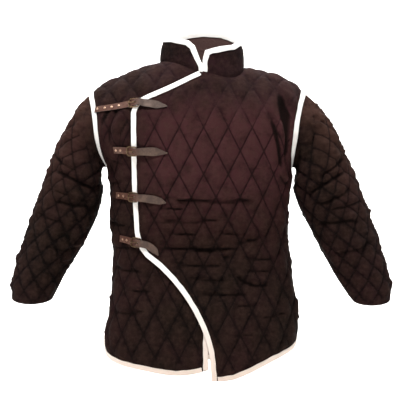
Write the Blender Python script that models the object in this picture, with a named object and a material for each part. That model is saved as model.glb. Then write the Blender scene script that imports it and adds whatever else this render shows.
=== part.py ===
"""Gambeson: a padded jacket with diamond quilting, a stand collar, set-in sleeves and a front that laps
across the chest and closes with four buckled leather straps. It is filled out as it is when worn.

Units are metres, +Z is up, the front faces -Y and +X is the wearer's left. The origin lies between the
shoulders at the base of the neck, where the garment hangs from its wearer.

Cloth panels are drawn flat, in (s, t): s runs round the body from the centre line, t runs up it and
equals the height below the chest. A shell function bends each flat point onto the body's form.
"""
from collections import namedtuple
import math

import bmesh
import bpy
import numpy as np
from mathutils import Vector
from mathutils.geometry import delaunay_2d_cdt

MM = 0.001

# ---- cloth ----
EDGE = 5 * MM              # padded wall where stitching or a seam presses it
PUFF = 10 * MM             # padded wall in the middle of a diamond
SEAM_GAP = 0.3 * MM        # between two pieces at a seam
LAP_LIFT = 9.0 * MM        # the outer front's inner face above the shell, where it lies on the under front
LAP_PUFF = 0.2             # share of the padding's height that is left under the lap
LAP_EASE = 105 * MM        # width over which the outer front sinks back to the shell
DIAMOND = (62 * MM, 118 * MM)          # body quilting, width and height
DIAMOND_AT = (8 * MM, -303 * MM)       # one crossing of the body's stitch lines
SLEEVE_DIAMOND = (46 * MM, 66 * MM)
LOOP_STEP = 28 * MM        # distance between points on a panel's edge
CURVED_STEP = 19 * MM      # and on an armhole or the neckline
STRAIGHT_STEP = 40 * MM    # and on the under front's edge
PLAIN_CELL = (44 * MM, 60 * MM)        # spacing of points on a plain inner face

# ---- binding tape ----
TAPE_WIDTH = 11.5 * MM
TAPE_THICK = 1.2 * MM
TAPE_GAP = 0.6 * MM
ARMHOLE_GAP = 1.15 * MM
INSET = TAPE_WIDTH + 1.5 * MM          # cloth this close to a bound edge is pressed flat

# ---- body form: outside half widths and depths at each height ----
Section = namedtuple("Section", "z right left front back corner")
SECTIONS = (
    Section(-0.860, 0.262, 0.259, 0.158, 0.150, 2.4),
    Section(-0.780, 0.262, 0.260, 0.158, 0.150, 2.4),
    Section(-0.735, 0.261, 0.262, 0.157, 0.149, 2.4),
    Section(-0.670, 0.248, 0.263, 0.155, 0.146, 2.4),
    Section(-0.610, 0.241, 0.255, 0.151, 0.140, 2.4),
    Section(-0.550, 0.236, 0.244, 0.147, 0.132, 2.4),
    Section(-0.480, 0.238, 0.237, 0.143, 0.123, 2.4),
    Section(-0.420, 0.242, 0.236, 0.142, 0.120, 2.4),
    Section(-0.330, 0.244, 0.244, 0.148, 0.128, 2.4),
    Section(-0.280, 0.254, 0.248, 0.152, 0.134, 2.5),
    Section(-0.240, 0.283, 0.264, 0.153, 0.137, 2.7),
    Section(-0.200, 0.308, 0.288, 0.153, 0.138, 2.9),
    Section(-0.120, 0.322, 0.302, 0.150, 0.136, 3.0),
    Section(0.060, 0.328, 0.308, 0.146, 0.132, 3.0),
)

# ---- shoulder line, seen from the front; x is negative on the wearer's right ----
ShoulderPoint = namedtuple("ShoulderPoint", "x z")
SHOULDER = (
    ShoulderPoint(-0.300, -0.0885),
    ShoulderPoint(-0.278, -0.0700),
    ShoulderPoint(-0.250, -0.0530),
    ShoulderPoint(-0.190, -0.0260),
    ShoulderPoint(-0.110, 0.0015),
    ShoulderPoint(0.000, 0.034),
    ShoulderPoint(0.115, -0.0110),
    ShoulderPoint(0.170, -0.0235),
    ShoulderPoint(0.221, -0.0390),
    ShoulderPoint(0.260, -0.0650),
    ShoulderPoint(0.290, -0.0915),
)
CHEST_DROP = {"front": 0.200, "back": 0.170}   # from the shoulder line to the full depth of chest or back
CHEST_DEPTH = 0.140

# ---- neck and armholes ----
NECK_HALF = {"right": 0.107, "left": 0.116}
NECK_DEPTH = {"under": 0.105, "outer": 0.105, "back": 0.050}
NECK_ROUND = {"under": 1.4, "outer": 3.0, "back": 2.2}
SHOULDER_TIP = {"right": -0.2935, "left": 0.2775}
ARMHOLE_BOTTOM = -0.288
ArmholePoint = namedtuple("ArmholePoint", "down front back")   # shares, from shoulder tip to side line
ARMHOLE = (
    ArmholePoint(0.00, 0.00, 0.00),
    ArmholePoint(0.20, -0.14, -0.10),
    ArmholePoint(0.40, -0.38, -0.24),
    ArmholePoint(0.60, -0.56, -0.30),
    ArmholePoint(0.76, -0.42, -0.17),
    ArmholePoint(0.88, -0.03, 0.13),
    ArmholePoint(0.97, 0.44, 0.50),
    ArmholePoint(0.994, 0.76, 0.79),
    ArmholePoint(1.00, 1.00, 1.00),
)

# ---- front edges, vents and hem ----
UNDER_EDGE = 0.018          # the under front ends here, behind the outer front
VENT_TOP = -0.603
VENT_SPREAD = 7 * MM        # each edge of a vent has moved this far from the side line at the hem
FrontPoint = namedtuple("FrontPoint", "x z")
LAP_EDGE = (
    FrontPoint(-0.0600, -0.0740),
    FrontPoint(-0.1150, -0.0985),
    FrontPoint(-0.1460, -0.1120),
    FrontPoint(-0.1640, -0.1255),
    FrontPoint(-0.1725, -0.1460),
    FrontPoint(-0.1730, -0.1720),
    FrontPoint(-0.1720, -0.2321),
    FrontPoint(-0.1675, -0.3445),
    FrontPoint(-0.1630, -0.4300),
    FrontPoint(-0.1597, -0.4700),
    FrontPoint(-0.1455, -0.5035),
    FrontPoint(-0.1020, -0.5430),
    FrontPoint(-0.0650, -0.5830),
    FrontPoint(-0.0276, -0.6356),
    FrontPoint(0.0013, -0.6905),
    FrontPoint(0.0166, -0.7314),
    FrontPoint(0.0250, -0.7748),
)
HemPoint = namedtuple("HemPoint", "s t")
HEM_OUTER = (
    HemPoint(0.0294, -0.8315),
    HemPoint(0.0804, -0.8285),
    HemPoint(0.1300, -0.8105),
    HemPoint(0.1850, -0.7865),
    HemPoint(0.2450, -0.7660),
    HemPoint(0.2900, -0.7520),
    HemPoint(0.3150, -0.7380),
    HemPoint(0.3260, -0.7100),
)
HEM_UNDER = (
    HemPoint(0.0180, -0.8050),
    HemPoint(-0.0400, -0.8170),
    HemPoint(-0.0900, -0.8155),
    HemPoint(-0.1400, -0.8075),
    HemPoint(-0.2000, -0.7985),
    HemPoint(-0.2600, -0.7840),
    HemPoint(-0.2950, -0.7660),
    HemPoint(-0.3120, -0.7350),
)
HEM_BACK = (
    HemPoint(0.0000, -0.8150),
    HemPoint(0.1200, -0.8080),
    HemPoint(0.2200, -0.7900),
    HemPoint(0.2700, -0.7740),
    HemPoint(0.2950, -0.7550),
    HemPoint(0.3070, -0.7200),
)

# ---- large folds, as troughs pressed into the whole wall ----
Fold = namedtuple("Fold", "side s0 t0 s1 t1 width depth")
FOLDS = (
    Fold("front", -0.120, -0.485, 0.120, -0.500, 0.030, 0.0050),
    Fold("front", 0.060, -0.375, 0.300, -0.385, 0.026, 0.0030),
    Fold("front", 0.020, -0.605, 0.200, -0.590, 0.028, 0.0040),
    Fold("front", 0.215, -0.130, 0.245, -0.255, 0.020, 0.0075),
    Fold("front", -0.215, -0.160, -0.250, -0.250, 0.022, 0.0050),
    Fold("back", -0.150, -0.440, 0.160, -0.455, 0.030, 0.0050),
    Fold("back", -0.220, -0.540, 0.040, -0.520, 0.028, 0.0035),
    Fold("sleeve_right", 0.060, 0.345, 0.200, 0.330, 0.020, 0.0060),
    Fold("sleeve_right", 0.090, 0.260, 0.210, 0.275, 0.018, 0.0040),
    Fold("sleeve_right", -0.150, 0.300, -0.020, 0.330, 0.020, 0.0040),
    Fold("sleeve_left", 0.070, 0.350, 0.200, 0.320, 0.020, 0.0055),
    Fold("sleeve_left", 0.080, 0.215, 0.190, 0.240, 0.018, 0.0040),
    Fold("sleeve_left", -0.150, 0.290, -0.030, 0.320, 0.020, 0.0040),
)

# ---- sleeves: rings seen from the front, shoulder side first ----
Ring = namedtuple("Ring", "outer_x outer_z inner_x inner_z depth y dip")
SLEEVES = {
    "right": (
        Ring(-0.3444, -0.1528, -0.2670, -0.3260, 0.081, 0.000, 0.000),
        Ring(-0.3765, -0.2117, -0.2610, -0.3560, 0.091, -0.004, 0.000),
        Ring(-0.4033, -0.2760, -0.2650, -0.3880, 0.087, -0.009, 0.000),
        Ring(-0.4275, -0.3457, -0.2755, -0.4240, 0.083, -0.014, 0.000),
        Ring(-0.4516, -0.4127, -0.2940, -0.4640, 0.079, -0.020, 0.000),
        Ring(-0.4717, -0.4744, -0.3200, -0.5120, 0.075, -0.027, 0.004),
        Ring(-0.4880, -0.5333, -0.3470, -0.5530, 0.071, -0.035, 0.008),
        Ring(-0.5010, -0.5856, -0.3680, -0.5950, 0.067, -0.043, 0.012),
        Ring(-0.5025, -0.6250, -0.3830, -0.6240, 0.061, -0.048, 0.016),
    ),
    "left": (
        Ring(0.3230, -0.1260, 0.2575, -0.3240, 0.081, 0.000, 0.000),
        Ring(0.3545, -0.1720, 0.2500, -0.3500, 0.091, -0.004, 0.000),
        Ring(0.3865, -0.2450, 0.2545, -0.3760, 0.087, -0.009, 0.000),
        Ring(0.4160, -0.3130, 0.2680, -0.4080, 0.083, -0.014, 0.000),
        Ring(0.4425, -0.3830, 0.2900, -0.4520, 0.079, -0.020, 0.000),
        Ring(0.4710, -0.4620, 0.3130, -0.4960, 0.075, -0.027, 0.004),
        Ring(0.4920, -0.5350, 0.3430, -0.5530, 0.071, -0.035, 0.008),
        Ring(0.5040, -0.5850, 0.3690, -0.5960, 0.067, -0.043, 0.012),
        Ring(0.5050, -0.6280, 0.3930, -0.6280, 0.060, -0.048, 0.016),
    ),
}
SLEEVE_FADE = 36 * MM                    # its padding comes to full height over this length
CAP_RIB_LEVELS = (156, 152, 148)         # of the 160 steps from cuff to cap
CAP_RIB_POINTS = 18
SLEEVE_START = TAPE_THICK + ARMHOLE_GAP + 3.5 * SEAM_GAP   # sleeve cloth begins beyond the armhole's tape
SLEEVE_RISE = 4 * MM                     # from its first ring to its second at the shoulder tip

# ---- collar ----
NECK_LAP_END = -0.004      # s at which the outer front's neckline meets its lap edge
COLLAR_UNDER_END = 0.010    # s of the collar's end on the under front
COLLAR_OUTER_END = 0.0045   # and on the outer front, where it laps over the first
COLLAR_LEAN = 0.10          # inward lean per unit of height
COLLAR_TUCK = 2 * MM        # the under end is set this far in, and comes out to the neckline
COLLAR_TUCK_EASE = 50 * MM  # over this length
COLLAR_SWELL = 3 * MM       # padding's height in the middle of the collar
TopPoint = namedtuple("TopPoint", "share z")   # the top edge, by share of the way from the under end
COLLAR_TOP = (
    TopPoint(0.080, 0.043),
    TopPoint(0.130, 0.0515),
    TopPoint(0.265, 0.0635),
    TopPoint(0.480, 0.0860),
    TopPoint(0.600, 0.0760),
    TopPoint(0.710, 0.0560),
    TopPoint(0.820, 0.0410),
    TopPoint(0.905, 0.0300),
    TopPoint(0.950, 0.0235),
)
EndPoint = namedtuple("EndPoint", "in_ up")    # the front ends' outlines, from the neckline up
UNDER_END = (EndPoint(0.000, 0.000), EndPoint(0.001, 0.020), EndPoint(0.034, 0.062))
OUTER_END = (EndPoint(0.000, 0.000), EndPoint(0.001, 0.034), EndPoint(0.006, 0.056))

# ---- straps: centre lines seen from the front, heights above the shell ----
StrapPoint = namedtuple("StrapPoint", "x z width")
STRAPS = (
    (StrapPoint(-0.270, -0.1370, 16.5), StrapPoint(-0.232, -0.1335, 17), StrapPoint(-0.190, -0.1280, 18),
     StrapPoint(-0.160, -0.1265, 18), StrapPoint(-0.125, -0.1300, 21), StrapPoint(-0.098, -0.1330, 20),
     StrapPoint(-0.083, -0.1350, 3)),
    (StrapPoint(-0.221, -0.2390, 17), StrapPoint(-0.205, -0.2395, 17), StrapPoint(-0.185, -0.241, 18),
     StrapPoint(-0.158, -0.2430, 18), StrapPoint(-0.120, -0.2450, 22), StrapPoint(-0.098, -0.2475, 20),
     StrapPoint(-0.083, -0.2500, 3)),
    (StrapPoint(-0.213, -0.3570, 16), StrapPoint(-0.196, -0.3590, 17), StrapPoint(-0.178, -0.361, 18),
     StrapPoint(-0.155, -0.3630, 18), StrapPoint(-0.120, -0.3670, 21), StrapPoint(-0.100, -0.3720, 18),
     StrapPoint(-0.086, -0.3765, 3)),
    (StrapPoint(-0.204, -0.4699, 17), StrapPoint(-0.190, -0.4729, 17), StrapPoint(-0.174, -0.4769, 18),
     StrapPoint(-0.150, -0.4819, 18), StrapPoint(-0.128, -0.4887, 19), StrapPoint(-0.113, -0.5010, 17),
     StrapPoint(-0.105, -0.5130, 3)),
)
LEATHER = 2.4 * MM
CHAPE = 1.5 * MM
CHAPE_LENGTH = 30 * MM
CHAPE_WIDTH = 13 * MM
CHAPE_RISE = ((15, 0.0), (5, -1.6), (12, 0.0))   # mm from the heel bar at which each layer leaves the fold
PAD_START = 16.5 * MM       # cloth under a strap is pressed from here, along the strap
PAD_PAST_TIP = 3 * MM       # to this far beyond its tip
PRESSED = 7 * MM            # padded wall under a strap
BUCKLE_HALF = 11.4 * MM     # across the strap, to the middle of the wire
BUCKLE_WIRE = 1.8 * MM
BUCKLE_SQUARE = 0.35        # exponent of its outline: 1 is round, 0 is square
RIVET_RADIUS = 3.4 * MM
RIVET_HEIGHT = 1.6 * MM
RIVET_GAP = 0.5 * MM        # between a rivet's head and its strap
RIVETS = ((-0.263, -0.244, -0.226, -0.2085), (-0.2140, -0.2023), (-0.206, -0.1933), (-0.1953, -0.185))

CLOTH = ("quilted_cotton", (0.045, 0.024, 0.026), 0.9, 0.0)
TAPE = ("cotton_tape", (0.88, 0.84, 0.80), 0.85, 0.0)
HIDE = ("strap_leather", (0.145, 0.085, 0.060), 0.55, 0.0)
METAL = ("antique_brass", (0.20, 0.135, 0.085), 0.42, 0.9)


# ---------------------------------------------------------------- curves and tables

def column(rows, name):
    return np.array([getattr(row, name) for row in rows])


def smooth(x, xs, ys):
    """Cubic curve through the rows (xs, ys), held level beyond both ends."""
    xs = np.asarray(xs, float)
    ys = np.asarray(ys, float)
    x = np.clip(x, xs[0], xs[-1])
    slopes = np.gradient(ys, xs, axis=0)
    i = np.clip(np.searchsorted(xs, x, side="right") - 1, 0, len(xs) - 2)
    width = xs[i + 1] - xs[i]
    u = (x - xs[i]) / width
    if ys.ndim > 1:
        fill = (slice(None),) + (None,) * (ys.ndim - 1)
        u = u[fill]
        width = width[fill]
    a = ys[i] * (1 + 2 * u) * (1 - u) ** 2 + ys[i + 1] * u ** 2 * (3 - 2 * u)
    b = slopes[i] * u * (1 - u) ** 2 - slopes[i + 1] * u ** 2 * (1 - u)
    return a + b * width


def ease(x):
    x = np.clip(x, 0, 1)
    return x * x * (3 - 2 * x)


def unit(vectors):
    return vectors / np.maximum(np.linalg.norm(vectors, axis=-1, keepdims=True), 1e-12)


def chord(points):
    steps = np.linalg.norm(np.diff(points, axis=0), axis=1)
    return np.concatenate(([0.0], np.cumsum(steps)))


def through(points, step=LOOP_STEP):
    """Evenly spaced points on a smooth curve through the given ones."""
    points = np.asarray(points, float)
    run = chord(points)
    fine = smooth(np.linspace(0, run[-1], 400), run, points)
    run = chord(fine)
    marks = np.linspace(0, run[-1], max(1, round(run[-1] / step)) + 1)
    return np.column_stack([np.interp(marks, run, fine[:, k]) for k in range(fine.shape[1])])


def divided(points, step):
    """A polyline's legs cut into equal parts, its corners kept."""
    out = [points[:1]]
    for start, end in zip(points[:-1], points[1:]):
        count = max(1, round(float(np.linalg.norm(end - start)) / step))
        out.append(np.linspace(start, end, count + 1)[1:])
    return np.vstack(out)


def lookup(runs, values, marks):
    """Each row of each table in values, read where that row of runs reaches its mark."""
    at = np.clip((runs < marks[:, None]).sum(axis=1), 1, runs.shape[1] - 1)
    rows = np.arange(len(at))
    low = runs[rows, at - 1]
    share = np.clip((marks - low) / np.maximum(runs[rows, at] - low, 1e-12), 0, 1)
    out = []
    for table in values:
        first = table[rows, at - 1]
        second = table[rows, at]
        weight = share[:, None] if first.ndim > 1 else share
        out.append(first + weight * (second - first))
    return out


def distance(points, path):
    """Distance of each flat point from a polyline."""
    start = path[:-1]
    along = path[1:] - start
    length = np.maximum((along ** 2).sum(axis=1), 1e-18)
    offset = points[:, None, :] - start[None, :, :]
    share = np.clip((offset * along).sum(axis=2) / length, 0, 1)
    return np.linalg.norm(offset - share[:, :, None] * along, axis=2).min(axis=1)


def offset(path, size):
    """A polyline's points moved to its left, with full corners."""
    ahead = unit(np.diff(path, axis=0))
    left = np.column_stack((-ahead[:, 1], ahead[:, 0]))
    before, after = np.vstack((left[:1], left)), np.vstack((left, left[-1:]))
    middle = unit(before + after)
    return path + middle * (size / (middle * before).sum(axis=1))[:, None]


def trimmed(path, start, end):
    """A polyline shortened by a length at either end."""
    run = chord(path)
    marks = run[(run > start + 3 * MM) & (run < run[-1] - end - 3 * MM)]
    marks = np.r_[start, marks, run[-1] - end]
    return np.column_stack([np.interp(marks, run, path[:, k]) for k in range(2)])


def inside(points, loop):
    """Which flat points lie inside a closed loop."""
    x, y = points[:, 0][:, None], points[:, 1][:, None]
    ax, ay = loop[:, 0], loop[:, 1]
    bx, by = np.roll(ax, -1), np.roll(ay, -1)
    crosses = (ay > y) != (by > y)
    rise = np.where(by == ay, 1e-18, by - ay)
    return (crosses & (x < ax + (y - ay) * (bx - ax) / rise)).sum(axis=1) % 2 == 1


# ---------------------------------------------------------------- shells

ARC = np.linspace(0, math.pi / 2, 121)
LEVELS = column(SECTIONS, "z")


def shoulder_height(s):
    """The shoulder line's inner height, s from the middle."""
    return smooth(s, column(SHOULDER, "x"), column(SHOULDER, "z")) - PUFF


def quarter_ring(half, depth, corner):
    """x, y and run along a quarter of a rounded ring, from the centre line to the side."""
    power = 2 / corner[:, None]
    x = half[:, None] * np.sin(ARC) ** power
    y = depth[:, None] * np.clip(np.cos(ARC), 0, 1) ** power
    steps = np.hypot(np.diff(x, axis=1), np.diff(y, axis=1))
    run = np.concatenate((np.zeros((len(x), 1)), np.cumsum(steps, axis=1)), axis=1)
    return x, y, run


def trough(side, st):
    """Depth of the large folds."""
    depth = np.zeros(len(st))
    for fold in FOLDS:
        if fold.side == side:
            path = np.array(((fold.s0, fold.t0), (fold.s1, fold.t1)))
            depth += fold.depth * np.exp(-(distance(st, path) / fold.width) ** 2)
    return depth


class Body:
    """The body's inner face, front or back, as a surface over flat points (s, t)."""

    def __init__(self, side):
        self.side = side
        self.facing = -1 if side == "front" else 1
        self.hand = -self.facing
        self.share = np.sin(ARC)
        self.drop = CHEST_DROP[side] * (1 - np.cos(ARC))
        self.run = chord(np.column_stack((CHEST_DEPTH * self.share, self.drop)))
        self.excess = self.run[-1] - self.drop[-1]

    def top(self, s):
        """t of the shoulder seam."""
        return shoulder_height(s) + self.excess

    def level(self, s, t):
        below = np.clip(self.top(s) - t, 0, None)
        share = np.interp(below, self.run, self.share)
        drop = np.interp(below, self.run, self.drop) + np.clip(below - self.run[-1], 0, None)
        z = shoulder_height(s) - drop
        right = smooth(z, LEVELS, column(SECTIONS, "right"))
        left = smooth(z, LEVELS, column(SECTIONS, "left"))
        half = np.where(s < 0, right, left) - PUFF
        depth = (smooth(z, LEVELS, column(SECTIONS, self.side)) - PUFF) * share
        return z, half, depth, smooth(z, LEVELS, column(SECTIONS, "corner"))

    def form(self, s, t):
        z, half, depth, corner = self.level(s, t)
        x, y, run = quarter_ring(half, depth, corner)
        x, y = lookup(run, (x, y), np.abs(s))
        return np.column_stack((np.where(s < 0, -x, x), self.facing * y, z))

    def frame(self, st):
        """Points and outward normals at flat points."""
        s, t = st[:, 0], st[:, 1]
        across = self.form(s + MM, t) - self.form(s - MM, t)
        up = self.form(s, t + MM) - self.form(s, t - MM)
        normal = unit(np.cross(across, up) * self.hand)
        return self.form(s, t) - normal * trough(self.side, st)[:, None], normal

    def side_line(self, t, sign):
        """s of the side seam at each t."""
        s = np.full(len(t), 0.32 * sign)
        for _ in range(6):
            _, half, depth, corner = self.level(s, t)
            s = sign * quarter_ring(half, depth, corner)[2][:, -1]
        return s

    def seen(self, x, z):
        """Flat points whose outside is seen at (x, z) from the front."""
        s = np.array(x, float)
        t = np.array(z, float)
        for _ in range(8):
            drop = shoulder_height(s) - z
            below = np.interp(drop, self.drop, self.run) + np.clip(drop - self.drop[-1], 0, None)
            t = self.top(s) - below
            _, half, depth, corner = self.level(s, t)
            xs, _, run = quarter_ring(half, depth, corner)
            s = np.sign(x) * lookup(xs, (run,), np.abs(x))[0]
        return np.column_stack((s, t))

    def at_depth(self, s, y):
        """Flat points at s that lie y in front of or behind the shoulder line."""
        out = []
        for one_s, one_y in zip(s, y):
            t = self.top(np.array([one_s]))[0] - np.linspace(0, 0.28, 120)
            depth = np.abs(self.form(np.full(120, one_s), t)[:, 1])
            out.append((one_s, np.interp(one_y, depth, t)))
        return np.array(out)


FRONT = Body("front")
BACK = Body("back")


# ---------------------------------------------------------------- flat outlines

def neckline(shell, part, start, end):
    """From s = start to s = end round the neck."""
    s = np.linspace(start, end, 60)
    power = NECK_ROUND[part]
    half = np.where(s < 0, NECK_HALF["right"], NECK_HALF["left"])
    around = np.clip(1 - (np.abs(s) / half) ** power, 0, 1) ** (1 / power)
    low = shell.at_depth(s, NECK_DEPTH[part] * around)
    low[:, 1] = np.minimum(low[:, 1], shell.top(s) - SEAM_GAP / 2)
    return through(low[np.r_[0:60:3, 59]], CURVED_STEP)


def armhole(shell, sign):
    """From the side seam up to the shoulder tip."""
    tip = SHOULDER_TIP["right" if sign < 0 else "left"]
    top = shell.top(np.array([tip]))[0] - SEAM_GAP / 2
    bottom = shell.side_line(np.array([ARMHOLE_BOTTOM]), sign)[0] - sign * SEAM_GAP / 2
    across = tip + (bottom - tip) * column(ARMHOLE, shell.side)
    down = top + (ARMHOLE_BOTTOM - top) * column(ARMHOLE, "down")
    return through(np.column_stack((across, down))[::-1], CURVED_STEP)


def side_seam(shell, sign):
    """From the vent up to the armhole."""
    last = ARMHOLE_BOTTOM - INSET
    t = np.append(np.linspace(VENT_TOP, last, round((last - VENT_TOP) / LOOP_STEP) + 1), ARMHOLE_BOTTOM)
    return np.column_stack((shell.side_line(t, sign) - sign * SEAM_GAP / 2, t))


def shoulder_seam(shell, tip, neck):
    """Along the shoulder from its tip to the neck."""
    first = tip - math.copysign(INSET, tip)
    s = np.append(tip, np.linspace(first, neck, round(abs(neck - first) / LOOP_STEP) + 1))
    return np.column_stack((s, shell.top(s) - SEAM_GAP / 2))


def hem(shell, rows, sign):
    """From the centre out along the hem and up the vent."""
    vent_t = np.array((-0.68, -0.64, VENT_TOP))
    spread = VENT_SPREAD * (VENT_TOP - vent_t) / (VENT_TOP - rows[0].t) + TAPE_THICK + TAPE_GAP + SEAM_GAP / 2
    vent_s = shell.side_line(vent_t, sign) - sign * spread
    points = [(sign * abs(row.s) if row is not rows[0] else row.s, row.t) for row in rows]
    return through(points + list(zip(vent_s, vent_t)))


# ---------------------------------------------------------------- quilting

class Quilting:
    """Diamond stitch lines over flat points, as a lattice of quarter diamonds."""

    def __init__(self, size, at):
        self.size = size
        self.at = at

    def height(self, st):
        """0 on a stitch line, 1 in the middle of a diamond."""
        u = (st[:, 0] - self.at[0]) / self.size[0]
        v = (st[:, 1] - self.at[1]) / self.size[1]
        return np.sqrt(np.abs(np.sin(math.pi * (u + v)) * np.sin(math.pi * (u - v))))

    def lattice(self, low, high, detail):
        """Lattice points over a box, and the stitch lines between them as pairs of rows.

        Detail is "quarter" for every quarter of a diamond's size, "stitch" for each diamond's corners, centre
        and the middles of its sides, or "plain" for an even grid with no stitch lines.
        """
        cell = np.array(PLAIN_CELL if detail == "plain" else self.size) / (1 if detail == "plain" else 4)
        first = np.floor((low - self.at) / cell).astype(int)
        last = np.ceil((high - self.at) / cell).astype(int)
        rows = {}
        for i in range(first[0], last[0] + 1):
            for j in range(first[1], last[1] + 1):
                if detail != "stitch" or (i + j) % 2 == 0:
                    rows[i, j] = len(rows)
        points = np.array([np.array(key) * cell + self.at for key in rows])
        pairs = []
        for (i, j), row in rows.items():
            if detail != "plain" and (i - j) % 4 == 0 and (i + 1, j + 1) in rows:
                pairs.append((row, rows[i + 1, j + 1]))
            if detail != "plain" and (i + j) % 4 == 0 and (i + 1, j - 1) in rows:
                pairs.append((row, rows[i + 1, j - 1]))
        return points, pairs


class Panel:
    """One cut piece: a shell, its named edges in order, and what presses its padding."""

    def __init__(self, shell, edges, bound, quilting=None, detail="quarter", lift=None, puff_share=None,
                 pads=(), ribs=(), inner_ribs=(), swell=0.0, fade=12 * MM):
        self.shell = shell
        self.edges = edges
        self.bound = bound
        self.quilting = quilting
        self.detail = detail
        self.lift = lift or (lambda st: np.zeros(len(st)))
        self.puff_share = puff_share or (lambda st: np.ones(len(st)))
        self.pads = pads
        self.ribs = ribs
        self.inner_ribs = inner_ribs
        self.swell = swell
        self.fade = fade
        self.loop = np.concatenate([points[:-1] for points in edges.values()])

    def thickness(self, st):
        """Height of the outer face over the inner one."""
        if self.quilting:
            full = self.quilting.height(st) * self.puff_share(st) * (PUFF - EDGE)
        else:
            full = np.full(len(st), self.swell)
        for pad in self.pads:
            away = np.where(inside(st, pad), 0.0, distance(st, np.vstack((pad, pad[:1]))))
            full = PRESSED - EDGE + (full - PRESSED + EDGE) * ease((away - MM) / (12 * MM))
        for name, points in self.edges.items():
            clear = INSET if name in self.bound else 0.0
            full = full * ease((distance(st, points) - clear) / self.fade)
        return EDGE + full

    def frame(self, st):
        """Inner face and outward normal."""
        points, normals = self.shell.frame(st)
        return points + normals * self.lift(st)[:, None], normals

    def outer(self, st):
        points, normals = self.frame(st)
        return points + normals * self.thickness(st)[:, None]

    def edge_frame(self, st):
        """Inner face, outward normal and direction out of the cloth along an edge."""
        points, normals = self.frame(st)
        inward = self.frame(offset(st, MM))[0] - points
        inward = inward - normals * (inward * normals).sum(axis=1, keepdims=True)
        return points, normals, -unit(inward)

    def tape_frame(self, st):
        """The edge's frame with full corners, and the inner face and normal under the tape's inner side."""
        points, normals, out = self.edge_frame(st)
        out = out * (np.linalg.norm(offset(st, MM) - st, axis=1) / MM)[:, None]
        return [points, normals, out, *self.frame(offset(st, TAPE_WIDTH))]

    def bound_runs(self):
        """Bound edges, those that follow each other joined, with their names."""
        names = list(self.edges)
        first = next((k for k, name in enumerate(names) if name not in self.bound), 0)
        runs = []
        for name in names[first:] + names[:first]:
            if name not in self.bound:
                runs.append([])
            elif not runs:
                runs.append([name])
            else:
                runs[-1].append(name)
        return [run for run in runs if run]

    def inset_lines(self):
        """Lines along the inner side of the tape with the places they can be used and their loop rows."""
        lines = []
        starts = dict(zip(self.edges, np.cumsum([0] + [len(part) - 1 for part in self.edges.values()])))
        for names in self.bound_runs():
            parts = [self.edges[name] for name in names]
            points = np.vstack([part[:-1] for part in parts] + [parts[-1][-1:]])
            line = offset(points, INSET)
            others = [other for key, other in self.edges.items() if key not in names]
            room = np.min([distance(line, other) for other in others], axis=0)
            own = distance(line, points) > INSET - 0.3 * MM
            rows = (starts[names[0]] + np.arange(len(points))) % len(self.loop)
            lines.append((line, own & (room > 3 * MM) & inside(line, self.loop), rows))
        return lines

    def triangles(self, rich):
        """Flat triangulation; rich keeps every stitch line, otherwise a few points carry the form."""
        points = [self.loop]
        count = len(self.loop)
        ring = np.arange(count)
        pairs = []
        keep_off = [np.vstack((self.loop, self.loop[:1]))]

        def add_line(line, good):
            nonlocal count
            number = np.cumsum(good) - 1 + count
            points.append(line[good])
            both = good[:-1] & good[1:]
            pairs.extend((number[k], number[k + 1]) for k in np.nonzero(both)[0])
            count += int(good.sum())
            if good.any():
                keep_off.append(line[good])

        for line, good, rows in self.inset_lines():
            number = np.cumsum(good) - 1 + count
            add_line(line, good)
            apart = np.linalg.norm(line[:, None] - self.loop[None], axis=2)
            number = np.where(good, number, np.where(apart.min(axis=1) < 2 * MM, apart.argmin(axis=1), -1))
            pairs.extend((rows[k], number[k]) for k in range(len(line)) if good[k])
            pairs.extend((rows[k], number[k + 1]) for k in range(len(line) - 1) if number[k + 1] >= 0)
        if rich:
            for pad in self.pads:
                line = np.vstack((pad, pad[:1] + 1e-9))
                clear = distance(line, keep_off[0]) > 3 * MM
                add_line(line, clear & inside(line, self.loop))
        for rib in self.ribs if rich else self.inner_ribs:
            clear = np.min([distance(rib, line) for line in keep_off if len(line) > 1], axis=0) > 5 * MM
            add_line(rib, clear & inside(rib, self.loop))
        low, high = self.loop.min(axis=0), self.loop.max(axis=0)
        quilting = self.quilting or Quilting((96 * MM, 72 * MM), (0.0, 0.0))
        lattice, lines = quilting.lattice(low, high, self.detail if rich else "plain")
        away = np.min([distance(lattice, line) for line in keep_off if len(line) > 1], axis=0)
        good = inside(lattice, self.loop) & (away > (5 if rich else 12) * MM)
        for name in self.bound:
            good &= distance(lattice, self.edges[name]) > INSET + 4 * MM
        if rich:
            for pad in self.pads:
                good &= ~inside(lattice, pad)
        number = np.cumsum(good) - 1 + count
        points.append(lattice[good])
        if rich:
            pairs.extend((number[a], number[b]) for a, b in lines if good[a] and good[b])
        flat = [Vector(point) for point in np.concatenate(points)]
        pairs = [(int(a), int(b)) for a, b in pairs]
        out = delaunay_2d_cdt(flat, pairs, [[int(k) for k in ring]], 1, 1e-7)
        where = {source: k for k, sources in enumerate(out[3]) for source in sources}
        border = [where[int(k)] for k in ring]
        return np.array([tuple(v) for v in out[0]]), [tuple(face) for face in out[2]], border


def tape_rings(points, normals, out, deep, deep_normals, gap=TAPE_GAP):
    """Sections of a tape folded round an edge, following the cloth on both faces."""
    far = gap + TAPE_THICK
    return np.stack((
        deep + deep_normals * (EDGE + gap),
        deep + deep_normals * (EDGE + far),
        points + out * far + normals * (EDGE + far),
        points + out * far - normals * far,
        deep - deep_normals * far,
        deep - deep_normals * gap,
        points + out * gap - normals * gap,
        points + out * gap + normals * (EDGE + gap)), axis=1)


# ---------------------------------------------------------------- mesh building

MATERIALS = {}


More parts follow.
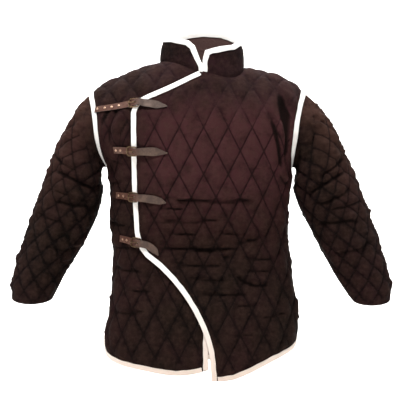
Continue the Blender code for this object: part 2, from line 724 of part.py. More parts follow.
def material(spec):
    name, colour, roughness, metallic = spec
    if name not in MATERIALS:
        made = bpy.data.materials.new(name)
        made.use_nodes = True
        shader = made.node_tree.nodes["Principled BSDF"]
        shader.inputs["Base Color"].default_value = (*colour, 1)
        shader.inputs["Roughness"].default_value = roughness
        shader.inputs["Metallic"].default_value = metallic
        MATERIALS[name] = made
    return MATERIALS[name]


def add_object(name, points, faces, spec, smooth_angle=50):
    """One closed piece, its faces turned outward."""
    mesh = bpy.data.meshes.new(name)
    bm = bmesh.new()
    verts = [bm.verts.new(point) for point in points]
    for face in faces:
        bm.faces.new([verts[k] for k in face])
    bmesh.ops.recalc_face_normals(bm, faces=bm.faces)
    bmesh.ops.triangulate(bm, faces=bm.faces)
    bm.to_mesh(mesh)
    bm.free()
    mesh.shade_smooth()
    mesh.set_sharp_from_angle(angle=math.radians(smooth_angle))
    mesh.materials.append(material(spec))
    piece = bpy.data.objects.new(name, mesh)
    bpy.context.collection.objects.link(piece)
    return piece


def build_wall(name, panel, spec):
    """A padded wall: quilting on the outer face, a plain inner face, and a rim all round."""
    outer_st, outer_faces, outer_rim = panel.triangles(rich=True)
    inner_st, inner_faces, inner_rim = panel.triangles(rich=False)
    outer = panel.outer(outer_st)
    inner = panel.frame(inner_st)[0]
    shift = len(outer)
    faces = list(outer_faces) + [tuple(k + shift for k in face[::-1]) for face in inner_faces]
    count = len(outer_rim)
    for k in range(count):
        after = (k + 1) % count
        faces.append((outer_rim[after], outer_rim[k], inner_rim[k] + shift, inner_rim[after] + shift))
    return add_object(name, np.vstack((outer, inner)), faces, spec)


def sweep(name, sections, spec, closed=False, smooth_angle=50):
    """Join like sections, each a ring of points, into one solid."""
    sections = np.asarray(sections)
    rows, sides = sections.shape[:2]
    faces = []
    for i in range(rows if closed else rows - 1):
        after = (i + 1) % rows
        for k in range(sides):
            turn = (k + 1) % sides
            faces.append((i * sides + k, i * sides + turn, after * sides + turn, after * sides + k))
    if not closed:
        faces.append(tuple(range(sides))[::-1])
        faces.append(tuple((rows - 1) * sides + k for k in range(sides)))
    return add_object(name, sections.reshape(-1, 3), faces, spec, smooth_angle)


def build_tape(name, sections, slants=None):
    """A tape from its sections, closed on itself where slants are given.

    Each quad is split the way the cloth under it is: a slant of 1 joins the edge to the next section's inner
    side, and -1 does the reverse.
    """
    rows = len(sections)
    at_edge = (False, False, True, True, False, False, True, True)
    faces = []
    for i in range(rows if slants is not None else rows - 1):
        a, b = i * 8, (i + 1) % rows * 8
        slant = 1 if slants is None else slants[i]
        for k in range(8):
            turn = (k + 1) % 8
            if at_edge[k] == (slant > 0):
                faces.append((a + k, a + turn, b + turn))
                faces.append((a + k, b + turn, b + k))
            else:
                faces.append((a + k, a + turn, b + k))
                faces.append((a + turn, b + turn, b + k))
    if slants is None:
        last = (rows - 1) * 8
        for quad in ((0, 7, 2, 1), (2, 7, 6, 3), (3, 6, 5, 4)):
            faces.append(quad)
            faces.append(tuple(last + k for k in quad[::-1]))
    return add_object(name, np.asarray(sections).reshape(-1, 3), faces, TAPE)


# ---------------------------------------------------------------- sleeves

SHARES = np.linspace(-0.5, 0.5, 193)     # of the way round an arm, from its outer line, plus to the front
STEPS = 160                              # levels between the cuff and the armhole
SLEEVE_RUN_OUT = 11 * MM                 # the sleeve leaves the armhole straight for up to this length
SLEEVE_TURN_DROP = 80 * MM               # below this drop from the shoulder tip it leaves sideways
CAP_RISE = 120 * MM                      # height of the sleeve's cap, flat


class Tube:
    """A sleeve's inner face over flat points (s, w): s round the arm from its outer line, plus to the
    front, and w up from the cuff."""

    def __init__(self, side, front_edge, back_edge):
        self.side = "sleeve_" + side
        self.hand = 1 if side == "right" else -1
        rings = [self.table_ring(row) for row in SLEEVES[side][::-1]]
        self.front_share, front = self.armhole_half(*front_edge)
        self.back_share, back = self.armhole_half(*back_edge)
        for step in (1, 0):
            halves = [self.at_shares(back, step, -SHARES[:97]), self.at_shares(front, step, SHARES[97:])]
            rings.append(np.vstack(halves))
        rings = np.array(rings)
        levels = []
        totals = []
        for k in range(len(SHARES)):
            run = chord(rings[:, k])
            totals.append(run[-1])
            levels.append(smooth(np.linspace(0, run[-1], STEPS + 1), run, rings[:, k]))
        self.grid = np.stack(levels, axis=1)
        self.total = np.mean(totals) + CAP_RISE / 2 * np.cos(2 * math.pi * SHARES)
        steps = np.linalg.norm(np.diff(self.grid, axis=1), axis=2)
        climb = np.diff(self.total) * np.linspace(0, 1, STEPS + 1)[:, None]
        steps = np.sqrt(np.maximum(steps ** 2 - climb ** 2, (0.3 * steps) ** 2))
        run = np.concatenate((np.zeros((STEPS + 1, 1)), np.cumsum(steps, axis=1)), axis=1)
        run = run - run[:, 96:97]
        near = [run[np.clip(np.arange(STEPS + 1) + shift, 0, STEPS)] for shift in range(-12, 13)]
        self.run = np.mean(near, axis=0)

    @staticmethod
    def at_shares(rings, step, shares):
        run = chord(rings[0])
        marks = shares * 2 * run[-1]
        return np.column_stack([np.interp(marks, run, rings[step][:, k]) for k in range(3)])

    @staticmethod
    def table_ring(row):
        outer = np.array((row.outer_x, row.y, row.outer_z))
        inner = np.array((row.inner_x, row.y, row.inner_z))
        half = (outer - inner) / 2
        half = half * (1 - PUFF / np.linalg.norm(half))
        turn = np.linspace(-math.pi, math.pi, 721)[:, None]
        front = np.array((0, PUFF - row.depth, -row.dip))
        points = (outer + inner) / 2 + half * np.cos(turn) + front * np.sin(turn)
        run = chord(points)
        marks = (SHARES + 0.5) * run[-1]
        return np.column_stack([np.interp(marks, run, points[:, k]) for k in range(3)])

    @staticmethod
    def armhole_half(points, normals, outward):
        """Each edge point's share of the way round, and the sleeve's first two rings."""
        aside = np.sign(points[0, 0])
        turn = np.arctan2(normals[:, :1] * aside, outward[:, :1] * aside)
        turn = turn * ease((points[0, 2] - points[:, 2:]) / SLEEVE_TURN_DROP)
        start = points + outward * (SLEEVE_START + EDGE * np.sin(turn))
        away = outward * np.cos(turn) + normals * np.sin(turn)
        run = chord(start)
        return run / run[-1] / 2, (start, start + away * (SLEEVE_RISE + SLEEVE_RUN_OUT * np.sin(turn)))

    def form(self, s, w):
        column_at = np.full(len(s), 96.0)
        for _ in range(30):
            level = np.clip(w / self.total_at(column_at), 0, 1) * STEPS
            low = np.minimum(level.astype(int), STEPS - 1)
            share = (level - low)[:, None]
            run = self.run[low] * (1 - share) + self.run[low + 1] * share
            index = np.broadcast_to(np.arange(len(SHARES), dtype=float), run.shape)
            column_at = (column_at + lookup(run, (index,), s)[0]) / 2
        left = np.minimum(column_at.astype(int), len(SHARES) - 2)
        part = (column_at - left)[:, None]
        below = self.grid[low, left] * (1 - part) + self.grid[low, left + 1] * part
        above = self.grid[low + 1, left] * (1 - part) + self.grid[low + 1, left + 1] * part
        return below * (1 - share) + above * share

    def total_at(self, column_at):
        return np.interp(column_at, np.arange(len(SHARES)), self.total)

    def frame(self, st):
        s, w = st[:, 0], st[:, 1]
        across = self.form(s + 2 * MM, w) - self.form(s - 2 * MM, w)
        up = self.form(s, w + 2 * MM) - self.form(s, w - 2 * MM)
        normal = unit(np.cross(across, up) * self.hand)
        return self.form(s, w) - normal * trough(self.side, st)[:, None], normal

    def flat(self, level, shares):
        """Flat points at a level, by share of the way round."""
        at = np.interp(shares, SHARES, np.arange(len(SHARES)))
        s = np.interp(at, np.arange(len(SHARES)), self.run[level])
        return np.column_stack((s, self.total_at(at) * level / STEPS))

    def cap_ribs(self):
        """Flat lines under the cap, that hold the bend where the sleeve leaves the armhole."""
        shares = np.linspace(-0.485, 0.485, CAP_RIB_POINTS)
        return tuple(self.flat(level, shares) for level in CAP_RIB_LEVELS)

    def outline(self):
        """Cuff, front of the underarm seam, cap and back of the underarm seam."""
        cuff = self.flat(0, np.linspace(-0.5, 0.5, 19))
        shares = np.concatenate((self.front_share[::-1], -self.back_share[1:]))
        cap = self.flat(STEPS, shares)
        seams = []
        for sign in (1, -1):
            levels = np.unique(np.linspace(0, STEPS, round(self.total[0] / LOOP_STEP) + 1).astype(int))
            seams.append(np.vstack([self.flat(level, np.array((sign * 0.5,))) for level in levels]))
        for points in (cuff, cap, *seams):
            half = np.abs(points[:, 0]).max()
            points[:, 0] = np.clip(points[:, 0], SEAM_GAP / 2 - half, half - SEAM_GAP / 2)
        for sign, seam in zip((1, -1), seams):
            seam[:, 0] = sign * (np.abs(seam[:, 0]) - SEAM_GAP / 2)
            seam[0] = cuff[-1 if sign > 0 else 0]
            seam[-1] = cap[0 if sign > 0 else -1]
        return {"cuff": cuff, "front seam": seams[0], "cap": cap, "back seam": seams[1][::-1]}


# ---------------------------------------------------------------- collar

class Band:
    """The collar's inner face over flat points (u, h): u along the neckline from the under end, h up."""

    hand = -1

    def __init__(self, points, outward):
        inward = outward * np.array((1, 1, 0))
        inward[1:-1] = inward[:-2] + 2 * inward[1:-1] + inward[2:]
        inward = unit(inward)
        self.normals = unit(np.array((0, 0, COLLAR_LEAN)) - inward)
        overhang = np.clip(-(self.normals * outward).sum(axis=1, keepdims=True), 0, 1)
        start = points + outward * (1.5 * SEAM_GAP + EDGE * overhang)
        run = chord(start)
        tuck = COLLAR_TUCK * (1 - ease(run / COLLAR_TUCK_EASE))
        self.start = start + inward * tuck[:, None]
        self.inward = inward
        self.run = run

    def at(self, values, u):
        return np.column_stack([np.interp(u, self.run, values[:, k]) for k in range(3)])

    def frame(self, st):
        u, h = st[:, 0], st[:, 1]
        inward = self.at(self.inward, u)
        points = self.at(self.start, u) + inward * (COLLAR_LEAN * h)[:, None]
        points[:, 2] += h
        return points, unit(self.at(self.normals, u))

    def outline(self):
        length = self.run[-1]
        top_u = column(COLLAR_TOP, "share") * length
        base = np.interp(top_u, self.run, self.start[:, 2])
        far = TAPE_THICK + TAPE_GAP
        top = np.column_stack((top_u, column(COLLAR_TOP, "z") - base - far))[::-1]
        under = np.column_stack((column(UNDER_END, "in_") + far, column(UNDER_END, "up")))
        outer = np.column_stack((length - far - column(OUTER_END, "in_"), column(OUTER_END, "up")))
        top = through(np.vstack((outer[-1], top, under[-1])), 22 * MM)
        rim = np.vstack((divided(outer, 15 * MM)[:-1], top, divided(under[::-1], 15 * MM)[1:]))
        first, last = rim[-1, 0], rim[0, 0]
        marks = self.run[(self.run > first + INSET + 3 * MM) & (self.run < last - INSET - 3 * MM)]
        along = np.r_[first, first + INSET, marks, last - INSET, last]
        return {"base": np.column_stack((along, np.zeros(len(along)))), "rim": rim}


# ---------------------------------------------------------------- straps and hardware

StrapHeight = namedtuple("StrapHeight", "along height")
STRAP_HEIGHTS = (                        # middle of the leather above the shell, by mm from the lap edge
    StrapHeight(-28, 9.1),
    StrapHeight(-11, 13.2),
    StrapHeight(-1.5, 17.9),
    StrapHeight(15, 25.9),
    StrapHeight(29, 21.3),
    StrapHeight(46.5, 21.2),
    StrapHeight(62, 17.7),
)
HOLE = (3.5 * MM, 10 * MM)               # the hole the prong passes through, along the strap
HOLE_HALF = 2.2 * MM
HEEL = (15, 20.0)                        # heel bar of a buckle: (along, height)
FAR_BAR = (-11, 17.4)
CHAPE_BEND = 2.95 * MM
CHAPE_LAYERS = (17.15, 18.95)            # heights of the two layers behind the heel bar
PRONG = ((9.6, 19.9), (7.6, 21.5), (4.5, 23.6), (1.0, 23.0), (-1.5, 21.9), (-11, 20.8), (-14.5, 20.2))
PRONG_RADIUS = 1.2 * MM


class StrapLine:
    """A strap's centre line on the front; positions are lengths from the lap edge, heights from the shell."""

    def __init__(self, rows, lap_edge):
        x, z, width = column(rows, "x"), column(rows, "z"), column(rows, "width") * MM
        run = chord(np.column_stack((x, z)))
        fine = np.linspace(0, run[-1], 300)
        curve = smooth(fine, run, np.column_stack((x, z)))
        self.flat = FRONT.seen(curve[:, 0], curve[:, 1])
        self.width = np.interp(fine, run, width)
        self.seen_x = curve[:, 0]
        points, _ = FRONT.frame(self.flat)
        run = chord(points)
        aside = offset(self.flat, MM) - self.flat
        meets = [run[np.argmin(distance(self.flat + aside * reach, lap_edge))] for reach in (-9, 0, 9)]
        self.run = run - min(meets)

    def interp(self, along, values):
        return np.interp(along, self.run, values)

    def frame(self, along):
        along = np.asarray(along, float)
        st = np.column_stack((self.interp(along, self.flat[:, 0]), self.interp(along, self.flat[:, 1])))
        points, normals = FRONT.frame(st)
        tip = FRONT.frame(st + self.direction(along) * MM)[0]
        forward = unit(tip - points)
        return points, normals, unit(np.cross(normals, forward))

    def direction(self, along):
        across, up = self.flat.T
        return unit(np.column_stack([
            self.interp(along + MM, values) - self.interp(along - MM, values)
            for values in (across, up)
        ]))

    def lifted(self, path):
        """Points (along, height) in mm set over the shell, with normals and the direction across."""
        path = np.asarray(path, float) * MM
        points, normals, across = self.frame(path[:, 0])
        return points + normals * path[:, 1:], normals, across

    def heights(self, along):
        return np.interp(along / MM, column(STRAP_HEIGHTS, "along"), column(STRAP_HEIGHTS, "height")) * MM

    def pad(self, start, end):
        """Flat outline of the cloth pressed under the strap."""
        along = np.linspace(start, end, max(2, round((end - start) / (14 * MM)) + 1))
        middle = np.column_stack([self.interp(along, self.flat[:, k]) for k in (0, 1)])
        ahead = self.direction(along)
        aside = np.column_stack((-ahead[:, 1], ahead[:, 0]))
        half = (self.width.max() + 4 * MM) / 2
        return np.vstack((middle - aside * half, (middle + aside * half)[::-1]))


def rod_section(centres, first, second, radius, sides=6):
    """Rings of a round rod, in the plane of two unit directions."""
    turn = np.arange(sides) / sides * 2 * math.pi
    return (centres[:, None, :] + radius * (np.cos(turn)[None, :, None] * first[:, None, :]
                                            + np.sin(turn)[None, :, None] * second[:, None, :]))


def build_strap(name, line):
    start, end = line.run[0], line.run[-1]
    marks = column(STRAP_HEIGHTS, "along") * MM
    spread = np.arange(-28 * MM, start, -13 * MM)
    tail = np.linspace(62 * MM, end, 3)
    marks = np.unique(np.round(np.concatenate((
        [start], spread, marks, HOLE, [-19 * MM, 22 * MM, 38 * MM, 54 * MM], tail, [end - 14 * MM])), 7))
    marks = marks[(marks >= start) & (marks <= end)]
    keep = np.r_[True, np.diff(marks) > 1.2 * MM]
    marks = marks[keep]
    marks[-1] = end
    points, normals, across = line.frame(marks)
    middle = points + normals * line.heights(marks)[:, None]
    ahead = unit(np.gradient(middle, axis=0))
    up = unit(np.cross(ahead, across))
    half = line.interp(marks, line.width) / 2
    slot = np.minimum(HOLE_HALF, 0.6 * half)
    columns = np.stack((-half, -slot, slot, half), axis=1)
    top = middle[:, None] + across[:, None] * columns[:, :, None] + up[:, None] * LEATHER / 2
    low = middle[:, None] + across[:, None] * columns[:, :, None] - up[:, None] * LEATHER / 2
    rings = np.concatenate((top, low[:, ::-1]), axis=1)
    hole = int(np.argmin(np.abs(marks - HOLE[0])))
    faces = []
    for i in range(len(marks) - 1):
        a, b = i * 8, (i + 1) * 8
        for k in range(8):
            turn = (k + 1) % 8
            if i == hole and k in (1, 5):
                continue
            faces.append((a + k, a + turn, b + turn, b + k))
        if i == hole:
            faces.append((a + 1, b + 1, b + 6, a + 6))
            faces.append((a + 2, a + 5, b + 5, b + 2))
            faces.append((a + 1, a + 6, a + 5, a + 2))
            faces.append((b + 1, b + 2, b + 5, b + 6))
    last = (len(marks) - 1) * 8
    for k in range(3):
        faces.append((k, 7 - k, 6 - k, k + 1))
        faces.append((last + k, last + k + 1, last + 6 - k, last + 7 - k))
    return add_object(name, rings.reshape(-1, 3), faces, HIDE, 40)


def build_chape(name, line):
    heel, height = HEEL
    far = heel + CHAPE_LENGTH / MM
    bend = CHAPE_BEND / MM
    turn = np.radians(np.linspace(-90, -270, 9))
    loop = np.column_stack((heel + bend * np.cos(turn), height + bend * np.sin(turn)))
    (low_end, _), (high_start, drop), (high_end, _) = CHAPE_RISE
    path = np.vstack(((far, CHAPE_LAYERS[0]), (heel + low_end, CHAPE_LAYERS[0]), loop,
                      (heel + high_start, height + bend + drop), (heel + high_end, CHAPE_LAYERS[1]),
                      (far, CHAPE_LAYERS[1])))
    middle, _, across = line.lifted(path)
    ahead = unit(np.gradient(middle, axis=0))
    up = unit(np.cross(ahead, across))
    corners = ((-0.5, 0.5), (0.5, 0.5), (0.5, -0.5), (-0.5, -0.5))
    rings = np.stack([middle + across * CHAPE_WIDTH * a + up * CHAPE * b for a, b in corners], axis=1)
    return sweep(name, rings, HIDE, smooth_angle=40)


def build_buckle(name, line):
    ends, normals, across = line.lifted((HEEL, FAR_BAR))
    along = unit(ends[0] - ends[1])
    half = np.linalg.norm(ends[0] - ends[1]) / 2
    across = unit(across.mean(axis=0))
    up = unit(np.cross(along, across))
    across = np.cross(up, along)
    turn = np.linspace(0, 2 * math.pi, 401)
    x = np.sign(np.cos(turn)) * np.abs(np.cos(turn)) ** BUCKLE_SQUARE * half
    y = np.sign(np.sin(turn)) * np.abs(np.sin(turn)) ** BUCKLE_SQUARE * BUCKLE_HALF
    run = chord(np.column_stack((x, y)))
    marks = np.linspace(0, run[-1], 25)[:-1]
    flat = np.column_stack((np.interp(marks, run, x), np.interp(marks, run, y)))
    ring = ends.mean(axis=0) + flat[:, :1] * along + flat[:, 1:] * across
    forward = unit(np.roll(ring, -1, axis=0) - np.roll(ring, 1, axis=0))
    out = unit(np.cross(forward, np.broadcast_to(up, forward.shape)))
    rings = rod_section(ring, out, np.broadcast_to(up, out.shape), BUCKLE_WIRE)
    return sweep(name, rings, METAL, closed=True, smooth_angle=70)


def build_prong(name, line):
    centres, _, across = line.lifted(PRONG)
    ahead = unit(np.gradient(centres, axis=0))
    rings = rod_section(centres, across, unit(np.cross(ahead, across)), PRONG_RADIUS)
    return sweep(name, rings, METAL, smooth_angle=70)


def build_rivet(name, line, x):
    along = np.interp(x, line.seen_x, line.run)
    base = np.array((along - MM, along, along + MM))
    points, normals, across = line.frame(base)
    middle = points + normals * line.heights(base)[:, None]
    across = across[1]
    up = unit(np.cross(middle[2] - middle[0], across))
    side = np.cross(across, up)
    shape = ((1.0, 0.0), (0.9, 0.6), (0.4, 1.0))
    rings = [rod_section((middle[1] + up * (LEATHER / 2 + RIVET_GAP + RIVET_HEIGHT * rise))[None],
                         across[None], side[None], RIVET_RADIUS * share, 8)[0] for share, rise in shape]
    return sweep(name, rings, METAL, smooth_angle=70)


# ---------------------------------------------------------------- the garment

def cut_s(points, s):
    """The flat points of a path, up to where it reaches s."""
    sign = np.sign(points[-1, 0] - points[0, 0])
    before = points[(points[:, 0] - s) * sign < -2 * MM]
    t = np.interp(s * sign, points[:, 0] * sign, points[:, 1])
    return np.vstack((before, (s, t)))


def lap_edge():
    top = neckline(FRONT, "outer", NECK_HALF["left"], NECK_LAP_END)[-1]
    seen = FRONT.seen(column(LAP_EDGE, "x"), column(LAP_EDGE, "z"))
    return through(np.vstack((top, seen, (HEM_OUTER[0].s, HEM_OUTER[0].t))), 23 * MM)


def outer_edges(lap):
    tip = SHOULDER_TIP["left"]
    low = hem(FRONT, HEM_OUTER, 1)
    side = side_seam(FRONT, 1)
    return {
        "hem": low,
        "step": np.vstack((low[-1], side[0])),
        "side": side,
        "armhole": armhole(FRONT, 1),
        "shoulder": shoulder_seam(FRONT, tip, NECK_HALF["left"]),
        "neck": neckline(FRONT, "outer", NECK_HALF["left"], NECK_LAP_END),
        "lap": lap,
    }


def under_edges():
    tip = SHOULDER_TIP["right"]
    low = hem(FRONT, HEM_UNDER, -1)[::-1]
    side = side_seam(FRONT, -1)[::-1]
    neck = neckline(FRONT, "under", UNDER_EDGE, -NECK_HALF["right"])
    count = round((neck[0, 1] - low[-1, 1]) / STRAIGHT_STEP) + 1
    return {
        "hem": low,
        "edge": np.linspace(low[-1], neck[0], count),
        "neck": neck,
        "shoulder": shoulder_seam(FRONT, tip, -NECK_HALF["right"])[::-1],
        "armhole": armhole(FRONT, -1)[::-1],
        "side": side,
        "step": np.vstack((side[-1], low[0])),
    }


def back_edges():
    right, left = SHOULDER_TIP["right"], SHOULDER_TIP["left"]
    low = np.vstack((hem(BACK, HEM_BACK, -1)[::-1], hem(BACK, HEM_BACK, 1)[1:]))
    side_left = side_seam(BACK, 1)
    side_right = side_seam(BACK, -1)[::-1]
    return {
        "hem": low,
        "step left": np.vstack((low[-1], side_left[0])),
        "side left": side_left,
        "armhole left": armhole(BACK, 1),
        "shoulder left": shoulder_seam(BACK, left, NECK_HALF["left"]),
        "neck": neckline(BACK, "back", NECK_HALF["left"], -NECK_HALF["right"]),
        "shoulder right": shoulder_seam(BACK, right, -NECK_HALF["right"])[::-1],
        "armhole right": armhole(BACK, -1)[::-1],
        "side right": side_right,
        "step right": np.vstack((side_right[-1], low[0])),
    }


def lap_lift(st):
    """Rise of the outer front over the under front."""
    return LAP_LIFT * (1 - ease((st[:, 0] - UNDER_EDGE - 6 * MM) / LAP_EASE))


def armhole_frames(front, front_name, back, back_name):
    """The tape frames of an armhole's two halves, from the shoulder tip down, and their slants.

    At the tip and the side seam both halves share the mean of the two, with full corners.
    """
    frames, slants = [], []
    for panel, name in ((front, front_name), (back, back_name)):
        st = panel.edges[name]
        down = st[0, 1] > st[-1, 1]
        frames.append([part if down else part[::-1] for part in panel.tape_frame(st)])
        slants.append(1 if down else -1)
    for first, second, direction in zip(*frames, (False, True, True, False, True)):
        for end in (0, -1):
            mean = (first[end] + second[end]) / 2
            first[end] = second[end] = mean / (mean @ mean) if direction else mean
    return frames, slants


def build():
    lap = lap_edge()
    lines = [StrapLine(rows, lap) for rows in STRAPS]
    quilting = Quilting(DIAMOND, DIAMOND_AT)
    under_run = np.column_stack((np.full(29, UNDER_EDGE - TAPE_WIDTH / 2), np.linspace(-0.03, -0.82, 29)))
    pads = [line.pad(PAD_START, line.run[-1] + PAD_PAST_TIP) for line in lines]
    outer = Panel(FRONT, outer_edges(lap), ("hem", "armhole", "lap"), quilting, lift=lap_lift, pads=pads,
                  inner_ribs=(under_run,))

    def cover(st):
        """Full padding beside the lap, pressed padding under it."""
        away = distance(st, lap) * np.where(inside(st, outer.loop), -1, 1)
        return 1 - (1 - LAP_PUFF) * ease((18 * MM - away) / (14 * MM))

    rib = offset(lap, -4 * MM)
    under = Panel(FRONT, under_edges(), ("hem", "armhole", "edge"), quilting, puff_share=cover,
                  pads=[line.pad(line.run[0] - 3 * MM, -8 * MM) for line in lines], ribs=(rib,))
    back = Panel(BACK, back_edges(), ("hem", "armhole left", "armhole right"), quilting)
    build_wall("front_outer", outer, CLOTH)
    build_wall("front_under", under, CLOTH)
    build_wall("back", back, CLOTH)

    armholes = {
        "right": armhole_frames(under, "armhole", back, "armhole right"),
        "left": armhole_frames(outer, "armhole", back, "armhole left"),
    }
    for side, ((front_frame, back_frame), slants) in armholes.items():
        loop = [np.concatenate((ours, theirs[::-1][1:-1])) for ours, theirs in zip(front_frame, back_frame)]
        slants = [slants[0]] * (len(front_frame[0]) - 1) + [-slants[1]] * (len(back_frame[0]) - 1)
        build_tape("binding_armhole_" + side, tape_rings(*loop, ARMHOLE_GAP), slants)
        tube = Tube(side, front_frame[:3], back_frame[:3])
        ribs = tube.cap_ribs()
        sleeve = Panel(tube, tube.outline(), (), Quilting(SLEEVE_DIAMOND, (0.0, 0.0)), detail="stitch",
                       ribs=ribs, inner_ribs=ribs, fade=SLEEVE_FADE)
        build_wall("sleeve_" + side, sleeve, CLOTH)

    under_neck, outer_neck = under.edges["neck"], outer.edges["neck"]
    necks = [
        under.edge_frame(cut_s(under_neck[::-1], COLLAR_UNDER_END)[::-1]),
        [part[::-1] for part in back.edge_frame(back.edges["neck"][1:-1])],
        outer.edge_frame(cut_s(outer_neck, COLLAR_OUTER_END)),
    ]
    band = Band(*(np.vstack([neck[k] for neck in necks]) for k in (0, 2)))
    collar = Panel(band, band.outline(), ("rim",), swell=COLLAR_SWELL)
    build_wall("collar", collar, CLOTH)

    for name, panel, st in (
        ("outer_edge", outer, trimmed(lap, 0.5 * MM, 0)),
        ("outer_hem", outer, trimmed(outer.edges["hem"], 14 * MM, 0.6 * MM)),
        ("under_edge", under, trimmed(under.edges["edge"], 0, 1.5 * MM)),
        ("under_hem", under, trimmed(under.edges["hem"], 0.6 * MM, 14 * MM)),
        ("back_hem", back, trimmed(back.edges["hem"], 0.6 * MM, 0.6 * MM)),
        ("collar", collar, trimmed(collar.edges["rim"], 2 * MM, 2 * MM)),
    ):
        build_tape("binding_" + name, tape_rings(*panel.tape_frame(st)))

    for number, (line, rivets) in enumerate(zip(lines, RIVETS), 1):
        build_strap(f"strap_{number}", line)
        build_chape(f"chape_{number}", line)
        build_buckle(f"buckle_{number}", line)
        build_prong(f"prong_{number}", line)
        for place, x in enumerate(rivets, 1):
            build_rivet(f"rivet_{number}_{place}", line, x)


def main():
    for piece in list(bpy.data.objects):
        bpy.data.objects.remove(piece, do_unlink=True)
    build()


main()
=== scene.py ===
"""Gambeson: the looks of a padded jacket with diamond quilting, a stand collar, set-in sleeves and a lapped
front closed by four buckled leather straps, built over its packed solids.

Units are metres, +Z is up, the front faces -Y. Cloth panels are drawn flat, in (s, t): s runs round the body
from the centre line, t runs up it and equals the height below the chest. A shell bends each flat point onto
the body's form, and a panel's padding, creases and puckers stand on that.
"""

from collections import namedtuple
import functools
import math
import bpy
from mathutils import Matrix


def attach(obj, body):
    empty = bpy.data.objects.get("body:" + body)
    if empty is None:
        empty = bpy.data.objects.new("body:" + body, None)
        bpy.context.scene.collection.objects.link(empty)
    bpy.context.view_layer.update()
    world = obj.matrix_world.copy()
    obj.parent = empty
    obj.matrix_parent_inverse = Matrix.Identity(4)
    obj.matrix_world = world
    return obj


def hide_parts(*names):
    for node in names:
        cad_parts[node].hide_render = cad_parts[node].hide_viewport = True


bl_info = {
    "name": "Gambeson",
    "version": (1, 0, 0),
    "blender": (4, 5, 0),
    "location": "View3D > Sidebar > Gambeson",
    "description": "Quilted cloth, binding tape, leather, metal and stitching of a padded jacket",
    "category": "Object",
}

import bmesh
import bpy
import numpy as np
from bpy.props import FloatProperty, FloatVectorProperty, IntProperty, PointerProperty
from mathutils import Vector
from mathutils.bvhtree import BVHTree
from mathutils.geometry import delaunay_2d_cdt

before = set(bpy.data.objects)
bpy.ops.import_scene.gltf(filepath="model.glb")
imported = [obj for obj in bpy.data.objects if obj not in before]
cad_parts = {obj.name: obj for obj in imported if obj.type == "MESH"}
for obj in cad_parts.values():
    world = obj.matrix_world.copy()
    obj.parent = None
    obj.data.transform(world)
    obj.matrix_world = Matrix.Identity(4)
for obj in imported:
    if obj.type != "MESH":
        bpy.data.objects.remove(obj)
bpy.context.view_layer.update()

MM = 0.001


def table(columns, *rows):
    """Rows with named columns."""
    row = namedtuple("Row", columns)
    return tuple(row(*values) for values in rows)



# ---- cloth ----
EDGE = 5 * MM              # padded wall where stitching or a seam presses it
PUFF = 10 * MM             # padded wall in the middle of a diamond
SEAM_GAP = 0.3 * MM        # between two pieces at a seam
LAP_LIFT = 9.0 * MM        # the outer front's inner face above the shell, where it lies on the under front
LAP_PUFF = 0.2             # share of the padding's height that is left under the lap
LAP_REST = 6 * MM          # it keeps that height for this far past the under front's edge
LAP_EASE = 105 * MM        # width over which it then sinks back to the shell
DIAMOND = (62 * MM, 118 * MM)          # body quilting, width and height
DIAMOND_AT = (8 * MM, -303 * MM)       # one crossing of the body's stitch lines
SLEEVE_DIAMOND = (46 * MM, 66 * MM)
LOOP_STEP = 28 * MM        # distance between points on a panel's edge
CURVED_STEP = 19 * MM      # and on an armhole or the neckline
STRAIGHT_STEP = 40 * MM    # and on the under front's edge
LAP_STEP = 23 * MM         # and on the outer front's
COLLAR_STEPS = (22 * MM, 15 * MM)      # and on the collar's top edge and its ends
CUFF_POINTS = 19           # points round a cuff
PLAIN_LATTICE = (96 * MM, 72 * MM)     # four times the spacing of points on a panel with no quilting
PUFF_FADE = 12 * MM        # padding comes to its full height over this length beside a seam
LINE_ROOM = 3 * MM         # least distance of the tape's inner line from another edge
LINE_SLACK = 0.3 * MM      # and how much nearer to its own edge than its place it may come
LINE_JOIN = 2 * MM         # its end joins a point on the edge that is this near
POINT_ROOM = 5 * MM        # least distance of a stitch line's point from the lines on the edge
BOUND_ROOM = 4 * MM        # and from the tape's inner line

# ---- binding tape ----
TAPE_WIDTH = 11.5 * MM
TAPE_THICK = 1.2 * MM
TAPE_GAP = 0.6 * MM
ARMHOLE_GAP = 1.15 * MM
INSET = TAPE_WIDTH + 1.5 * MM          # cloth this close to a bound edge is pressed flat

# ---- body form: outside half widths and depths at each height ----
SECTIONS = table("z right left front back corner",
    (-0.86, 0.262, 0.259, 0.158, 0.15, 2.4),
    (-0.78, 0.262, 0.26, 0.158, 0.15, 2.4),
    (-0.735, 0.261, 0.262, 0.157, 0.149, 2.4),
    (-0.67, 0.248, 0.263, 0.155, 0.146, 2.4),
    (-0.61, 0.241, 0.255, 0.151, 0.14, 2.4),
    (-0.55, 0.236, 0.244, 0.147, 0.132, 2.4),
    (-0.48, 0.238, 0.237, 0.143, 0.123, 2.4),
    (-0.42, 0.242, 0.236, 0.142, 0.12, 2.4),
    (-0.33, 0.244, 0.244, 0.148, 0.128, 2.4),
    (-0.28, 0.254, 0.248, 0.152, 0.134, 2.5),
    (-0.24, 0.283, 0.264, 0.153, 0.137, 2.7),
    (-0.2, 0.308, 0.288, 0.153, 0.138, 2.9),
    (-0.12, 0.322, 0.302, 0.15, 0.136, 3.0),
    (0.06, 0.328, 0.308, 0.146, 0.132, 3.0)
)

